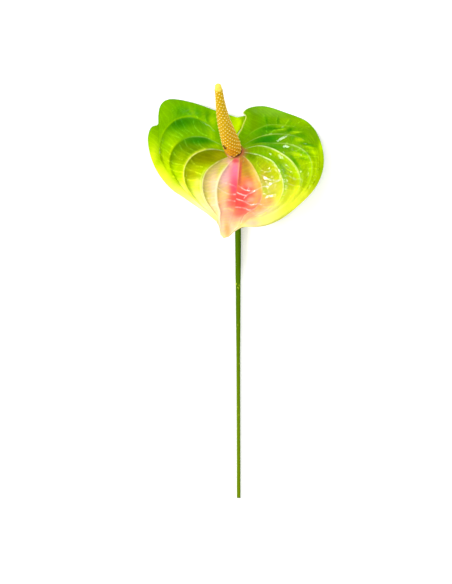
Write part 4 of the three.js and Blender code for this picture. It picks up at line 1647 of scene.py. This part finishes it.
def floor_paint():
    material, n = new_material("floor_paint")
    grain = n.node("TexNoise", {"Scale": 8.0}).outputs["Fac"]
    colour = n.mix(grain, FLOOR_GREY, FLOOR_WHITE)
    glow = {"Emission_Color": (1, 1, 1, 1), "Emission_Strength": FLOOR_GLOW}
    n.finish(colour, roughness=0.9, Specular_IOR_Level=0.0, **glow)
    return material


bm = bmesh.new()
bmesh.ops.create_grid(bm, x_segments=1, y_segments=1, size=FLOOR_SIZE)
floor = new_piece("floor", bm, [floor_paint()], smooth_faces=False)

# %% [markdown]
# ## Lights
# A very large soft light overhead fills the picture, a smaller one from the left shapes the relief,
# and a small bright window beyond the top right puts the wet-looking glints on the right lobe. The
# camera sees a white world, but the flower is lit by a much dimmer one.

# %% Lights
AIM = Vector((0, 0.12, 0))


def soft_light(name, direction, away, size, watts):
    data = bpy.data.lights.new(name, "AREA")
    data.shape, data.size, data.energy = "SQUARE", size, watts
    light = bpy.data.objects.new(name, data)
    light.location = Vector(direction).normalized() * away + AIM
    light.rotation_euler = (-Vector(direction)).to_track_quat("-Z", "Y").to_euler()
    light.visible_camera = False
    bpy.context.scene.collection.objects.link(light)


soft_light("ceiling", (-0.1, -0.15, 1), away=3.2, size=3.0, watts=72)
soft_light("side", (-0.8, 0.1, 0.65), away=2.6, size=1.0, watts=46)
soft_light("window", WINDOW, away=2.5, size=0.34, watts=22)

# %% World
WORLD_LIGHT, WORLD_SEEN = 0.22, 0.7

world = bpy.data.worlds.new("studio")
world.use_nodes = True
sky = Nodes(world.node_tree)
seen = sky.node("LightPath").outputs["Is Camera Ray"]
background = world.node_tree.nodes["Background"]
world.node_tree.links.new(sky.plus(sky.times(seen, WORLD_SEEN), WORLD_LIGHT), background.inputs["Strength"])
background.inputs["Color"].default_value = (1, 1, 1, 1)
bpy.context.scene.world = world
bpy.context.scene.view_settings.view_transform = "Standard"
print("light of the world:", WORLD_LIGHT, "and as the camera sees it:", round(WORLD_LIGHT + WORLD_SEEN, 2))

# %% [markdown]
# ## Camera
# The camera looks straight down with a very long lens from far away, so heights hardly move things
# sideways. The lens follows from the height of the photograph in millimetres.

# %% Camera
PHOTO_SIZE = (452, 584)
CAMERA_HEIGHT = 14.0
SENSOR = 36.0

middle = in_frame([*from_photo((PHOTO_SIZE[0] / 2, PHOTO_SIZE[1] / 2)), 0])
camera_data = bpy.data.cameras.new("camera")
camera_data.sensor_width = SENSOR
camera_data.lens = SENSOR * CAMERA_HEIGHT / (PHOTO_SIZE[1] * MM_PER_PX * METRES)
camera_data.clip_start, camera_data.clip_end = 0.1, 100
camera = bpy.data.objects.new("camera", camera_data)
camera.location = (middle[0], middle[1], CAMERA_HEIGHT)
bpy.context.scene.collection.objects.link(camera)
bpy.context.scene.camera = camera
print("lens:", round(camera_data.lens, 1), "mm")
